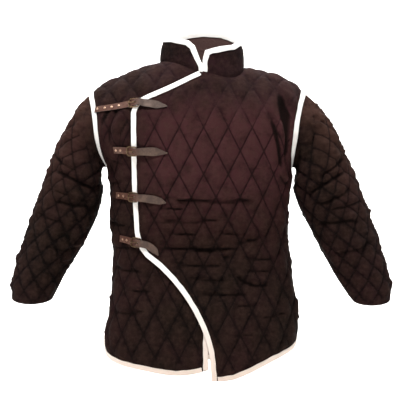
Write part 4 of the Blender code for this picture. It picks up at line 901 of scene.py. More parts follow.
def outer_edges(lap):
    tip = SHOULDER_TIP["left"]
    low = hem(FRONT, HEM_OUTER, 1)
    side = side_seam(FRONT, 1)
    return {
        "hem": low,
        "step": np.vstack((low[-1], side[0])),
        "side": side,
        "armhole": armhole(FRONT, 1),
        "shoulder": shoulder_seam(FRONT, tip, NECK_HALF["left"]),
        "neck": neckline(FRONT, "outer", NECK_HALF["left"], NECK_LAP_END),
        "lap": lap,
    }


def under_edges():
    tip = SHOULDER_TIP["right"]
    low = hem(FRONT, HEM_UNDER, -1)[::-1]
    side = side_seam(FRONT, -1)[::-1]
    neck = neckline(FRONT, "under", UNDER_EDGE, -NECK_HALF["right"])
    count = round((neck[0, 1] - low[-1, 1]) / STRAIGHT_STEP) + 1
    return {
        "hem": low,
        "edge": np.linspace(low[-1], neck[0], count),
        "neck": neck,
        "shoulder": shoulder_seam(FRONT, tip, -NECK_HALF["right"])[::-1],
        "armhole": armhole(FRONT, -1)[::-1],
        "side": side,
        "step": np.vstack((side[-1], low[0])),
    }


def back_edges():
    right, left = SHOULDER_TIP["right"], SHOULDER_TIP["left"]
    low = np.vstack((hem(BACK, HEM_BACK, -1)[::-1], hem(BACK, HEM_BACK, 1)[1:]))
    side_left = side_seam(BACK, 1)
    side_right = side_seam(BACK, -1)[::-1]
    return {
        "hem": low,
        "step left": np.vstack((low[-1], side_left[0])),
        "side left": side_left,
        "armhole left": armhole(BACK, 1),
        "shoulder left": shoulder_seam(BACK, left, NECK_HALF["left"]),
        "neck": neckline(BACK, "back", NECK_HALF["left"], -NECK_HALF["right"]),
        "shoulder right": shoulder_seam(BACK, right, -NECK_HALF["right"])[::-1],
        "armhole right": armhole(BACK, -1)[::-1],
        "side right": side_right,
        "step right": np.vstack((side_right[-1], low[0])),
    }


def lap_lift(st):
    """Rise of the outer front over the under front."""
    return LAP_LIFT * (1 - ease((st[:, 0] - UNDER_EDGE - LAP_REST) / LAP_EASE))


def armhole_frames(front, front_name, back, back_name):
    """The tape frames of an armhole's two halves, from the shoulder tip down, and their slants.

    At the tip and the side seam both halves share the mean of the two, with full corners.
    """
    frames, slants = [], []
    for panel, name in ((front, front_name), (back, back_name)):
        st = panel.edges[name]
        down = st[0, 1] > st[-1, 1]
        frames.append([part if down else part[::-1] for part in panel.tape_frame(st)])
        slants.append(1 if down else -1)
    for first, second, direction in zip(*frames, (False, True, True, False, True)):
        for end in (0, -1):
            mean = (first[end] + second[end]) / 2
            first[end] = second[end] = mean / (mean @ mean) if direction else mean
    return frames, slants


# ---------------------------------------------------------------- creases and puckers

CREASE = "s0 t0 s1 t1 width depth bend"
CREASES = {
    "outer": table(
        CREASE,
        (-0.075, -0.374, 0.165, -0.375, 0.005, 0.0048, 0.004),
        (-0.105, -0.362, 0.01, -0.366, 0.004, 0.003, -0.003),
        (0.06, -0.352, 0.17, -0.362, 0.0045, 0.0028, 0.004),
        (-0.12, -0.392, -0.03, -0.396, 0.0045, 0.0034, 0.004),
        (-0.15, -0.408, -0.01, -0.412, 0.005, 0.0034, -0.005),
        (-0.13, -0.432, 0.07, -0.426, 0.005, 0.0042, 0.006),
        (0.03, -0.456, 0.19, -0.452, 0.006, 0.0034, -0.006),
        (-0.1, -0.458, 0.0, -0.462, 0.0045, 0.0036, 0.004),
        (-0.125, -0.498, 0.125, -0.502, 0.006, 0.0066, 0.005),
        (-0.06, -0.482, 0.05, -0.484, 0.005, 0.0036, 0.003),
        (0.045, -0.492, 0.175, -0.468, 0.0055, 0.005, 0.005),
        (-0.07, -0.522, 0.1, -0.514, 0.005, 0.0044, -0.006),
        (0.085, -0.523, 0.205, -0.532, 0.006, 0.0036, 0.007),
        (-0.09, -0.538, 0.07, -0.546, 0.005, 0.005, 0.006),
        (0.105, -0.56, 0.2, -0.554, 0.005, 0.0032, 0.004),
        (-0.05, -0.574, 0.08, -0.58, 0.005, 0.004, 0.005),
        (0.078, -0.562, 0.185, -0.594, 0.006, 0.0062, -0.006),
        (-0.02, -0.612, 0.135, -0.618, 0.005, 0.0044, 0.005),
        (0.08, -0.648, 0.17, -0.64, 0.005, 0.0028, 0.004),
        (0.14, -0.682, 0.245, -0.664, 0.006, 0.0032, 0.006),
        (0.04, -0.714, 0.15, -0.72, 0.0055, 0.0028, 0.004),
        (-0.02, -0.24, 0.075, -0.246, 0.005, 0.0018, 0.004),
        (0.11, -0.29, 0.205, -0.296, 0.005, 0.0022, 0.005),
        (0.196, -0.07, 0.23, -0.29, 0.012, 0.0092, 0.014),
        (0.222, -0.11, 0.258, -0.3, 0.0095, 0.0078, 0.01),
        (0.172, -0.15, 0.218, -0.3, 0.0075, 0.0054, 0.008),
        (0.205, -0.3, 0.262, -0.33, 0.006, 0.0036, -0.006),
    ),
    "under": table(
        CREASE,
        (-0.2, -0.105, -0.246, -0.24, 0.009, 0.007, -0.01),
        (-0.23, -0.12, -0.268, -0.23, 0.0075, 0.006, -0.008),
        (-0.18, -0.15, -0.213, -0.25, 0.006, 0.0044, -0.006),
        (-0.262, -0.262, -0.196, -0.278, 0.0055, 0.0034, 0.004),
        (-0.29, -0.33, -0.19, -0.322, 0.0055, 0.0034, 0.005),
        (-0.262, -0.374, -0.18, -0.38, 0.005, 0.003, 0.004),
        (-0.285, -0.43, -0.188, -0.443, 0.0055, 0.0038, 0.006),
        (-0.275, -0.486, -0.165, -0.492, 0.005, 0.0036, -0.004),
        (-0.27, -0.548, -0.14, -0.562, 0.006, 0.0038, 0.006),
        (-0.22, -0.604, -0.11, -0.61, 0.005, 0.0034, 0.004),
        (-0.26, -0.66, -0.12, -0.652, 0.006, 0.0034, -0.006),
    ),
    "back": table(
        CREASE,
        (-0.175, -0.436, 0.06, -0.45, 0.0055, 0.0048, 0.008),
        (-0.02, -0.482, 0.19, -0.476, 0.0055, 0.0042, -0.007),
        (-0.21, -0.53, -0.01, -0.522, 0.006, 0.004, 0.006),
        (0.04, -0.57, 0.2, -0.58, 0.006, 0.0034, 0.006),
        (-0.09, -0.392, 0.11, -0.386, 0.005, 0.0034, 0.005),
        (-0.16, -0.61, 0.02, -0.618, 0.0055, 0.0034, -0.005),
        (0.07, -0.66, 0.23, -0.652, 0.006, 0.003, 0.006),
        (-0.255, -0.17, -0.222, -0.295, 0.008, 0.0056, 0.01),
        (0.25, -0.16, 0.213, -0.29, 0.008, 0.0054, -0.01),
    ),
    "sleeve_right": table(
        CREASE,
        (0.02, 0.372, 0.13, 0.348, 0.006, 0.005, 0.006),
        (0.04, 0.338, 0.2, 0.322, 0.006, 0.005, 0.008),
        (0.06, 0.296, 0.205, 0.3, 0.0055, 0.0044, -0.006),
        (0.075, 0.262, 0.195, 0.277, 0.006, 0.0042, 0.006),
        (0.03, 0.226, 0.15, 0.214, 0.0055, 0.0034, 0.005),
        (0.09, 0.15, 0.2, 0.166, 0.0055, 0.003, -0.005),
        (-0.18, 0.318, -0.04, 0.34, 0.006, 0.0042, 0.007),
        (-0.17, 0.225, -0.05, 0.236, 0.006, 0.0036, -0.006),
    ),
    "sleeve_left": table(
        CREASE,
        (0.03, 0.372, 0.14, 0.346, 0.006, 0.005, 0.006),
        (0.04, 0.34, 0.19, 0.316, 0.006, 0.005, 0.008),
        (0.05, 0.3, 0.18, 0.29, 0.0055, 0.0042, -0.006),
        (0.03, 0.252, 0.15, 0.262, 0.0055, 0.004, 0.005),
        (0.06, 0.212, 0.19, 0.238, 0.006, 0.0042, 0.006),
        (0.04, 0.16, 0.16, 0.15, 0.0055, 0.0032, -0.005),
        (-0.18, 0.3, -0.04, 0.326, 0.006, 0.0042, 0.007),
        (-0.16, 0.21, -0.04, 0.224, 0.006, 0.0034, -0.006),
    ),
}
CREASE_ENDS = 0.25            # share of a crease's length over which each end dies away
CREASE_POWER = 1.5            # of the curve that gives a crease its narrow bottom
CREASE_WANDER = 2 * MM        # a crease wanders this far from its line
CREASE_TURNS = 9              # and this fast, in radians for its whole length
ROLL_HEIGHT = 0.9             # of the roll above a crease, in the crease's own depth
ROLL_AWAY = 2.1               # its distance, in the crease's own width
ROLL_WIDTH = 1.4
PUCKER = (0.075, 0.024)       # length and height of the wrinkles between stitch lines
CRUMPLE = (0.042, 0.015)      # and of the finer ones on top
SWELL = (0.110, 0.070)        # and of the uneven padding
WAVE_SPREAD = (0.7, 1.6)      # shortest and longest wave, in those sizes
WAVE_LEVEL = 0.7              # of folded waves, that counts as the cloth's own level
CRUMPLE_SHARE = 0.45          # height of the finer wrinkles, in that of the others
SWELL_SHARE = 0.5             # and of the uneven padding
THIN_SHARE = 0.3              # share of the wrinkles' height that is left where there is no padding
CRUSH_TOP = -0.300            # the body's cloth is crushed below this height
CRUSH_EASE = 0.1              # fully so this far below it
CRUSH_LEAST = 0.4             # share of the wrinkles' height above it
SEWN_EASE = 16 * MM           # wrinkles come to their full height over this length beside a seam or tape
THIN = 3.4 * MM               # least thickness where a crease is pressed in
WORN_SHARE = 0.7              # share of the quilting's extra height that is gone at the shoulders
WORN_FROM = -0.210            # height where that begins
WORN_FULL = -0.100            # and where it is complete
LINE_DARK = 0.95              # how dark the painted shade in a stitch line's valley is at its bottom
LINE_POWER = 2.8              # of the curve that keeps that painted shade narrow
CREASE_DARK = 3 * MM          # a crease this deep gets its full painted shade
STRAP_REACH = 14 * MM         # a strap presses the padding down within this distance
STRAP_SINK = 0.6 * MM         # this much lower than the solid's padding under it
STRAP_GAP = 0.7 * MM          # left under it
STRAP_NEAR = 2 * MM           # a strap that stands higher than this over the padding doesn't press it


def crease_height(side, st):
    """Rise of the outer face from creases: each a narrow trough with a soft roll above it."""
    rise = np.zeros(len(st))
    for row in CREASES.get(side, ()):
        start = np.array((row.s0, row.t0))
        along = np.array((row.s1, row.t1)) - start
        length = np.linalg.norm(along)
        along = along / length
        share = ((st - start) @ along) / length
        aside = (st - start) @ np.array((-along[1], along[0]))
        aside = aside - row.bend * np.sin(math.pi * np.clip(share, 0, 1))
        aside = aside - CREASE_WANDER * np.sin(CREASE_TURNS * share)
        ends = ease(share / CREASE_ENDS) * ease((1 - share) / CREASE_ENDS)
        trough = np.exp(-np.abs(aside / row.width) ** CREASE_POWER)
        roll = np.exp(-((aside - ROLL_AWAY * row.width) / (ROLL_WIDTH * row.width)) ** 2)
        rise += row.depth * ends * (ROLL_HEIGHT * roll - trough)
    return rise


def ripples(st, size, seed, count=20):
    """Soft uneven waves of about that length and height, mostly from -1 to 1."""
    pick = np.random.default_rng(seed)
    turn = pick.uniform(0, 2 * math.pi, count)
    stretch = pick.uniform(*WAVE_SPREAD, count)
    phase = pick.uniform(0, 2 * math.pi, count)
    waves = np.zeros(len(st))
    for k in range(count):
        u = st[:, 0] / size[0] * math.cos(turn[k]) + st[:, 1] / size[1] * math.sin(turn[k])
        waves += np.sin(u / stretch[k] * 2 * math.pi + phase[k])
    return waves / math.sqrt(count)


# ---------------------------------------------------------------- cloth in detail

def split(points, faces):
    """Each triangle cut into four."""
    edges = np.sort(np.concatenate((faces[:, (0, 1)], faces[:, (1, 2)], faces[:, (2, 0)])), axis=1)
    unique, place = np.unique(edges, axis=0, return_inverse=True)
    ab, bc, ca = np.split(place.ravel() + len(points), 3)
    a, b, c = faces.T
    parts = ((a, ab, ca), (ab, b, bc), (ca, bc, c), (ab, bc, ca))
    faces = np.vstack([np.column_stack(part) for part in parts])
    return np.vstack((points, points[unique].mean(axis=1))), faces


def tree_of(names):
    """A search tree over CAD nodes."""
    points, faces = [], []
    for name in names:
        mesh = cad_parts[name].data
        shift = len(points)
        points.extend(v.co.copy() for v in mesh.vertices)
        faces.extend([k + shift for k in p.vertices] for p in mesh.polygons)
    return BVHTree.FromPolygons(points, faces)


class Cloth(Panel):
    """A panel with the puckers, creases and strap marks of the real cloth."""

    def __init__(self, name, *args, **settings):
        super().__init__(*args, **settings)
        self.name = name
        self.side_name = name.replace("front_", "")
        self.is_sleeve = name.startswith("sleeve")
        self.pressers = None

    def fine_thickness(self, st):
        """Height of the finished outer face over the inner one."""
        look = bpy.context.scene.gambeson_cloth
        height = self.thickness(st) - EDGE
        padded = THIN_SHARE + (1 - THIN_SHARE) * np.clip(height / (PUFF - EDGE), 0, 1)
        low_down = ease((CRUSH_TOP - st[:, 1]) / CRUSH_EASE)
        crush = 1.0 if self.is_sleeve else CRUSH_LEAST + (1 - CRUSH_LEAST) * low_down
        clear = self.clear(st)
        if self.quilting:
            height = height * (1 + (look.puff / (PUFF - EDGE) - 1) * (1 - self.worn_flat(st)))
        seed = sum(map(ord, self.name))
        wrinkles = np.abs(ripples(st, PUCKER, seed)) - WAVE_LEVEL + SWELL_SHARE * ripples(st, SWELL, seed + 7)
        wrinkles += CRUMPLE_SHARE * (np.abs(ripples(st, CRUMPLE, seed + 3)) - WAVE_LEVEL)
        height += look.pucker * crush * padded * wrinkles * clear
        height += look.crease * crease_height(self.side_name, st) * clear
        if self.pressers:
            height = self.pressed(st, height)
        return np.maximum(EDGE + height, THIN + (EDGE - THIN) * (1 - clear))

    def worn_flat(self, st):
        """How far wear has flattened the quilting: from none below the chest to most at the shoulders."""
        if self.is_sleeve:
            return np.zeros(len(st))
        return WORN_SHARE * ease((st[:, 1] - WORN_FROM) / (WORN_FULL - WORN_FROM))

    def clear(self, st):
        """0 at a seam or under tape, 1 away from it."""
        share = np.ones(len(st))
        for name, points in self.edges.items():
            covered = INSET if name in self.bound else 0.0
            share *= ease((distance(st, points) - covered) / SEWN_EASE)
        return share

    def pressed(self, st, height):
        """Padding pushed down where a strap lies on it."""
        points, normals = self.frame(st)
        top = points + normals * (EDGE + height)[:, None]
        away = np.full(len(st), STRAP_REACH)
        for k, point in enumerate(top):
            found = self.pressers.find_nearest(point, STRAP_REACH)
            if found[0] is not None:
                under = (found[0] - Vector(points[k])).dot(Vector(normals[k])) - STRAP_GAP
                away[k] = found[3] if under < EDGE + height[k] + STRAP_NEAR else STRAP_REACH
        low = PRESSED - EDGE - STRAP_SINK
        left = ease((away - MM) / (STRAP_REACH - MM))
        return np.where(height > low, low + (height - low) * left, height)

    def build(self, levels):
        """The finished wall, with its flat points as a UV map and what its material reads as attributes."""
        st, faces = self.triangles()
        for _ in range(levels):
            st, faces = split(st, faces)
        inner, normals = self.frame(st)
        outer = inner + normals * self.fine_thickness(st)[:, None]
        ways = np.concatenate((faces[:, (0, 1)], faces[:, (1, 2)], faces[:, (2, 0)]))
        _, first, count = np.unique(np.sort(ways, axis=1), axis=0, return_index=True, return_counts=True)
        rim = ways[first[count == 1]]
        shift = len(st)
        quads = np.column_stack((rim[:, 1], rim[:, 0], rim[:, 0] + shift, rim[:, 1] + shift))
        a, b, c = (outer[faces[:, k]] for k in range(3))
        if (np.cross(b - a, c - a) * normals[faces[:, 0]]).sum() < 0:
            faces, quads = faces[:, ::-1], quads[:, ::-1]
        mesh = bpy.data.meshes.new(self.name)
        everything = faces.tolist() + (faces[:, ::-1] + shift).tolist() + quads.tolist()
        mesh.from_pydata(np.vstack((outer, inner)).tolist(), [], everything)
        flat = mesh.uv_layers.new(name="flat")
        corners = np.empty(len(mesh.loops), dtype=np.int32)
        mesh.loops.foreach_get("vertex_index", corners)
        flat.data.foreach_set("uv", np.vstack((st, st))[corners].astype(np.float32).ravel())
        none, full = np.zeros(shift), np.ones(shift)
        quilted = self.quilting.height(st) if self.quilting else full
        crowns = quilted if self.quilting else none
        # painted shade down in the stitch lines and creases, carried to the material as valley
        folded = np.clip(-crease_height(self.side_name, st) / CREASE_DARK, 0, 1) * self.clear(st)
        sunk = np.maximum(LINE_DARK * (1 - quilted) ** LINE_POWER * (1 - self.worn_flat(st)), folded)
        sleeve = full * self.is_sleeve
        for key, on_outer, on_inner in (("valley", sunk, none), ("raised", crowns, crowns),
                                        ("inner", none, full), ("sleeve", sleeve, sleeve)):
            values = np.concatenate((on_outer, on_inner)).astype(np.float32)
            mesh.attributes.new(key, "FLOAT", "POINT").data.foreach_set("value", values)
        return finish_mesh(mesh, self.name + "_cloth", 60)


def finish_mesh(mesh, name, angle):
    """A smooth-shaded object from a mesh."""
    mesh.validate()
    mesh.shade_smooth()
    mesh.set_sharp_from_angle(angle=math.radians(angle))
    piece = bpy.data.objects.new(name, mesh)
    bpy.context.scene.collection.objects.link(piece)
    return piece


# ---------------------------------------------------------------- the garment's panels

STRAP_NODES = [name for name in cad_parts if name.startswith(("strap", "chape", "buckle"))]
LAP_SHADOW = (18 * MM, 14 * MM)   # how far past the lap, and over what length, the padding is pressed
TapeEnds = namedtuple("TapeEnds", "start end")
TAPE_ENDS = {                     # lengths left bare at the ends of each tape
    "outer_edge": TapeEnds(0.5 * MM, 0),
    "outer_hem": TapeEnds(14 * MM, 0.6 * MM),
    "under_edge": TapeEnds(0, 1.5 * MM),
    "under_hem": TapeEnds(0.6 * MM, 14 * MM),
    "back_hem": TapeEnds(0.6 * MM, 0.6 * MM),
    "collar": TapeEnds(2 * MM, 2 * MM),
}
TAPE_SEED = 40
TAPE_WAVES = (16 * MM, 28 * MM)   # lengths of the tape's waves, up from the cloth and along it
TAPE_CORNER = (80, 45, 10)        # degrees at which its rounded corner is drawn
TAPE_INNER = 0.75                 # height of its inner edge, in its own thickness
TAPE_SLACK = (1.4, 0.6)           # its inner edge's and its middle's waves, in the height of the others


@functools.cache
def garment():
    """Every cloth panel, and the flat line or sections of each tape."""
    lap = lap_edge()
    quilting = Quilting(DIAMOND, DIAMOND_AT)
    outer = Cloth("front_outer", FRONT, outer_edges(lap), ("hem", "armhole", "lap"), quilting, lift=lap_lift)

    def cover(st):
        """Full padding beside the lap, pressed padding under it."""
        away = distance(st, lap) * np.where(inside(st, outer.loop), -1, 1)
        return 1 - (1 - LAP_PUFF) * ease((LAP_SHADOW[0] - away) / LAP_SHADOW[1])

    under = Cloth("front_under", FRONT, under_edges(), ("hem", "armhole", "edge"), quilting, puff_share=cover)
    back = Cloth("back", BACK, back_edges(), ("hem", "armhole left", "armhole right"), quilting)
    straps = tree_of(STRAP_NODES)
    outer.pressers = under.pressers = straps
    armholes = {
        "right": armhole_frames(under, "armhole", back, "armhole right"),
        "left": armhole_frames(outer, "armhole", back, "armhole left"),
    }
    panels = {"front_outer": outer, "front_under": under, "back": back}
    for side, ((front_frame, back_frame), _) in armholes.items():
        tube = Tube(side, front_frame[:3], back_frame[:3])
        panels["sleeve_" + side] = Cloth("sleeve_" + side, tube, tube.outline(), (),
                                         Quilting(SLEEVE_DIAMOND, (0.0, 0.0)), detail="stitch",
                                         ribs=tube.cap_ribs(), fade=SLEEVE_FADE)
    under_neck, outer_neck = under.edges["neck"], outer.edges["neck"]
    necks = [
        under.edge_frame(cut_s(under_neck[::-1], COLLAR_UNDER_END)[::-1]),
        [part[::-1] for part in back.edge_frame(back.edges["neck"][1:-1])],
        outer.edge_frame(cut_s(outer_neck, COLLAR_OUTER_END)),
    ]
    band = Band(*(np.vstack([neck[k] for neck in necks]) for k in (0, 2)))
    panels["collar"] = Cloth("collar", band, band.outline(), ("rim",), swell=COLLAR_SWELL)
    lines = {
        "outer_edge": (outer, lap),
        "outer_hem": (outer, outer.edges["hem"]),
        "under_edge": (under, under.edges["edge"]),
        "under_hem": (under, under.edges["hem"]),
        "back_hem": (back, back.edges["hem"]),
        "collar": (panels["collar"], panels["collar"].edges["rim"]),
    }
    tapes = {name: (panel.tape_frame(trimmed(path, *TAPE_ENDS[name])), False, TAPE_GAP)
             for name, (panel, path) in lines.items()}
    for side, ((front_frame, back_frame), _) in armholes.items():
        loop = [np.concatenate((ours, theirs[::-1][1:-1])) for ours, theirs in zip(front_frame, back_frame)]
        tapes["armhole_" + side] = (loop, True, ARMHOLE_GAP)
    return panels, tapes


def retrace(frame_rows, closed, step):
    """A tape's frame read at even steps along its edge."""
    rows = [np.vstack((part, part[:1])) for part in frame_rows] if closed else frame_rows
    run = chord(rows[0])
    count = max(4, round(run[-1] / step)) + 1
    marks = np.linspace(0, run[-1], count)
    marks = marks[:-1] if closed else marks
    out = [np.column_stack([np.interp(marks, run, part[:, k]) for k in range(3)]) for part in rows]
    out[1], out[4] = unit(out[1]), unit(out[4])
    return out, marks


def tape_sections(rows, marks, gap, seed):
    """Rounded sections of a folded tape, with the small waves of a sewn edge."""
    points, normals, out, deep, deep_normals = rows
    height = bpy.context.scene.gambeson_tape.wave
    at = np.column_stack((marks, marks * 0))
    wave = ripples(at, (TAPE_WAVES[0], 1.0), seed, 10)[:, None]
    slack = ripples(at, (TAPE_WAVES[1], 1.0), seed + 1, 8)[:, None]
    far = gap + TAPE_THICK
    lift = gap + TAPE_THICK * TAPE_INNER + height * np.abs(wave)
    deep = deep + unit(deep - points) * height * TAPE_SLACK[0] * slack
    crown = EDGE + far + height * TAPE_SLACK[1] * slack
    middle = (points + deep) / 2 + (normals + deep_normals) / 2 * crown
    ring = [deep + deep_normals * (EDGE + gap), deep + deep_normals * (EDGE + lift), middle]
    turns = [math.radians(turn) for turn in TAPE_CORNER]
    corner = [(far * math.cos(turn), far * math.sin(turn)) for turn in turns]
    ring += [points + out * along + normals * (EDGE + up) for along, up in corner]
    ring += [points + out * along - normals * up for along, up in corner[::-1]]
    ring += [deep - deep_normals * far, deep - deep_normals * gap, points + out * gap - normals * gap,
             points + out * gap + normals * (EDGE + gap)]
    return np.stack(ring, axis=1)


def loft(name, sections, closed, angle=50):
    """A solid through like sections."""
    rows, sides = sections.shape[:2]
    faces = []
    for i in range(rows if closed else rows - 1):
        a, b = i * sides, (i + 1) % rows * sides
        faces.extend((a + k, a + (k + 1) % sides, b + (k + 1) % sides, b + k) for k in range(sides))
    if not closed:
        faces.append(tuple(range(sides))[::-1])
        faces.append(tuple((rows - 1) * sides + k for k in range(sides)))
    bm = bmesh.new()
    verts = [bm.verts.new(point) for point in sections.reshape(-1, 3)]
    for face in faces:
        bm.faces.new([verts[k] for k in face])
    bmesh.ops.recalc_face_normals(bm, faces=bm.faces)
    bmesh.ops.triangulate(bm, faces=[face for face in bm.faces if len(face.verts) > 4])
    mesh = bpy.data.meshes.new(name)
    bm.to_mesh(mesh)
    bm.free()
    return finish_mesh(mesh, name, angle)


# ---------------------------------------------------------------- materials

def linear(colour):
    """A colour written as sRGB hex, or a user's colour, in linear values with alpha."""
    if isinstance(colour, str):
        channels = [int(colour[k:k + 2], 16) / 255 for k in (1, 3, 5)]
        colour = [c / 12.92 if c <= 0.04045 else ((c + 0.055) / 1.055) ** 2.4 for c in channels]
    return (*tuple(colour)[:3], 1.0)


def add_node(tree, kind, inputs=None, **settings):
    """A node with its settings; inputs are values or the sockets that feed them, by name or number."""
    node = tree.nodes.new(kind)
    for name, value in settings.items():
        setattr(node, name, value)
    for key, value in (inputs or {}).items():
        if isinstance(value, bpy.types.NodeSocket):
            tree.links.new(value, node.inputs[key])
        else:
            node.inputs[key].default_value = value
    return node


def new_material(name, roughness, **sockets):
    made = bpy.data.materials.new(name)
    made.use_nodes = True
    shader = made.node_tree.nodes["Principled BSDF"]
    shader.inputs["Roughness"].default_value = roughness
    for key, value in sockets.items():
        shader.inputs[key.replace("_", " ")].default_value = value
    return made, made.node_tree, shader


def laid_over(tree, base, *layers):
    """A colour with others over it. Each layer is a source, the range of it that counts, the shares of colour
    that the range's ends give, and the colour."""
    for source, (low, high), (least, most), colour in layers:
        share = add_node(tree, "ShaderNodeMapRange", {"Value": source, "From Min": low, "From Max": high,
                                                       "To Min": least, "To Max": most}).outputs[0]
        base = add_node(tree, "ShaderNodeMix", {0: share, 6: base, 7: linear(colour)},
                        data_type="RGBA").outputs[2]
    return base


def weave_height(tree, vector, spacing):
    """Over and under threads of a plain weave, by thread spacing in metres."""
    waves = [add_node(tree, "ShaderNodeTexWave", {"Vector": vector, "Scale": 1 / (spacing * 20),
                                                  "Distortion": 1.2, "Detail": 1.0, "Detail Scale": 2.0},
                      bands_direction=direction).outputs["Fac"] for direction in ("X", "Y")]
    return add_node(tree, "ShaderNodeMath", dict(enumerate(waves)), operation="MULTIPLY").outputs[0]


# Scales of the patterns, in cells for each metre, from the real size of each
FADE_SCALE = 5.5              # broad fading of the canvas, patches about 180 mm across
PATCH_SCALE = 26.0            # its darker patches, 38 mm
MOTTLE_SCALE = 85.0           # its lint and uneven dye, 12 mm
CRUMPLE_SCALE = 48.0          # its soft crumples, 21 mm
THREAD_SPACING = 1.6 * MM     # its threads, drawn coarser than the real 0.7 mm, to show
STAIN_SCALE = 30.0            # yellowed patches of the tape, 33 mm
RIB_SCALE = 420.0             # its ribs, 2.4 mm, drawn coarser than the real 1 mm, to show
RUB_SCALE = 45.0              # rubbed patches of the leather, 22 mm
GRAIN_SCALE = 900.0           # its grain, 1.1 mm
SPOT_SCALE = 380.0            # spots of tarnish, 2.6 mm
TWIST_SCALE = 900.0           # turns of the sewing thread, 1.1 mm

BODY_TONES = table("z colour",   # the canvas from hem to collar: browner below the waist, and darker there as painted shade of the light from above; darker over the shoulders and collar as painted shade against the lamps above them
    (-0.86, "body_low"),
    (-0.56, "body_low"),
    (-0.44, "body_mid"),
    (-0.30, "body"),
    (-0.17, "body"),
    (-0.08, "body_top"),
    (-0.01, "body_top"),
    (0.01, "collar")
)
SLEEVE_TONES = table("z colour",   # and from cuff to shoulder, darker towards the cuffs as painted shade
    (-0.65, "sleeve_low"),
    (-0.46, "sleeve_low"),
    (-0.14, "sleeve")
)
UNDER_SHADE = (-0.17, -0.10)  # x from which the wearer's right side is duller
SLEEVE_SLANT = 0.333          # how far a sleeve leans out for each metre down
SLEEVE_SHADE = (0.200, 0.262) # |x|, less that lean, over which the painted shade on a sleeve's inner side ends
ARMPIT = (-0.12, -0.19)       # heights over which that painted shade begins
YELLOWED = (-0.55, -0.82)     # heights over which the tape turns yellow
RED_LEATHER = (-0.150, -0.178)   # x over which the straps turn redder, towards their sewn ends


def by_height(tree, height, stops, colours):
    """Colour blended between stops up an object's height."""
    low, high = stops[0].z, stops[-1].z
    share = add_node(tree, "ShaderNodeMapRange", {"Value": height, "From Min": low, "From Max": high})
    ramp = add_node(tree, "ShaderNodeValToRGB", {"Fac": share.outputs[0]})
    elements = ramp.color_ramp.elements
    while len(elements) < len(stops):
        elements.new(0.5)
    for element, stop in zip(elements, stops):
        element.position = (stop.z - low) / (high - low)
    for element, stop in zip(elements, stops):
        element.color = linear(getattr(colours, stop.colour))
    return ramp.outputs["Color"]


@functools.cache
def cotton_canvas():
    """Dark brown dyed cotton canvas: dull, a little fuzzy, mottled by wear, with painted shade in its seams
    and creases, down its body, at the cuffs and on the sleeves' inner sides, and a painted highlight on top
    of its padding.
    """
    colours = bpy.context.scene.gambeson_colours
    made, tree, shader = new_material("dyed cotton canvas", 0.95, Sheen_Weight=0.01, Sheen_Roughness=0.5,
                                      Specular_IOR_Level=0.03, Sheen_Tint=linear("#8a6a60"))
    place = add_node(tree, "ShaderNodeTexCoord").outputs["Object"]
    x, _, z = add_node(tree, "ShaderNodeSeparateXYZ", {"Vector": place}).outputs
    fading, patches, mottle, crumples = (
        add_node(tree, "ShaderNodeTexNoise", {"Vector": place, "Scale": scale, "Detail": detail,
                                              "Roughness": rough, "Distortion": warp}).outputs["Fac"]
        for scale, detail, rough, warp in ((FADE_SCALE, 4.0, 0.6, 0.0), (PATCH_SCALE, 4.0, 0.65, 0.0),
                                           (MOTTLE_SCALE, 5.0, 0.7, 0.0), (CRUMPLE_SCALE, 6.0, 0.6, 0.8)))
    is_sleeve, raised, valley, inner = (
        add_node(tree, "ShaderNodeAttribute", attribute_name=name).outputs["Fac"]
        for name in ("sleeve", "raised", "valley", "inner"))
    # painted shade on each sleeve's inner side, next to the body, down from the armpit
    aside = add_node(tree, "ShaderNodeMath", {0: x}, operation="ABSOLUTE").outputs[0]
    slant = add_node(tree, "ShaderNodeMath", {0: z, 1: SLEEVE_SLANT, 2: aside},
                     operation="MULTIPLY_ADD").outputs[0]
    under_arm, below = (
        add_node(tree, "ShaderNodeMapRange", {"Value": source, "From Min": ends[0], "From Max": ends[1],
                                              "To Min": least, "To Max": most}).outputs[0]
        for source, ends, least, most in ((slant, SLEEVE_SHADE, 0.92, 0.0), (z, ARMPIT, 0.0, 1.0)))
    shade = add_node(tree, "ShaderNodeMath", {0: under_arm, 1: below}, operation="MULTIPLY").outputs[0]
    # the body's tones by height paint shade towards the hem, over the shoulders and on the collar
    body = laid_over(tree, by_height(tree, z, BODY_TONES, colours),
                     (x, UNDER_SHADE, (0.65, 0.0), colours.body_low))
    sleeve = add_node(tree, "ShaderNodeMix", {0: shade, 6: by_height(tree, z, SLEEVE_TONES, colours),
                                              7: linear(colours.cloth_deep)}, data_type="RGBA")
    base = add_node(tree, "ShaderNodeMix", {0: is_sleeve, 6: body, 7: sleeve.outputs[2]}, data_type="RGBA")
    outside = laid_over(tree, base.outputs[2],
                        (fading, (0.40, 0.70), (0.0, 0.35), colours.cloth_warm),
                        (patches, (0.46, 0.66), (0.0, 0.5), colours.cloth_valley),
                        (mottle, (0.42, 0.72), (0.0, 0.34), colours.cloth_lint),
                        # painted highlight on the crowns of the padding
                        (raised, (0.3, 1.0), (0.0, 0.17), colours.cloth_rubbed),
                        # painted shade down in stitch lines and creases
                        (valley, (0.45, 1.0), (0.0, 0.9), colours.cloth_valley))
    both = add_node(tree, "ShaderNodeMix", {0: inner, 6: outside, 7: linear(colours.lining)},
                    data_type="RGBA")
    tree.links.new(both.outputs[2], shader.inputs["Base Color"])
    flat = add_node(tree, "ShaderNodeUVMap", uv_map="flat")
    threads = weave_height(tree, flat.outputs["UV"], THREAD_SPACING)
    weave = add_node(tree, "ShaderNodeBump", {"Height": threads, "Strength": 0.3, "Distance": 0.25 * MM})
    bump = add_node(tree, "ShaderNodeBump", {"Height": crumples, "Strength": 0.9, "Distance": 4.2 * MM,
                                             "Normal": weave.outputs["Normal"]})
    tree.links.new(bump.outputs["Normal"], shader.inputs["Normal"])
    return made


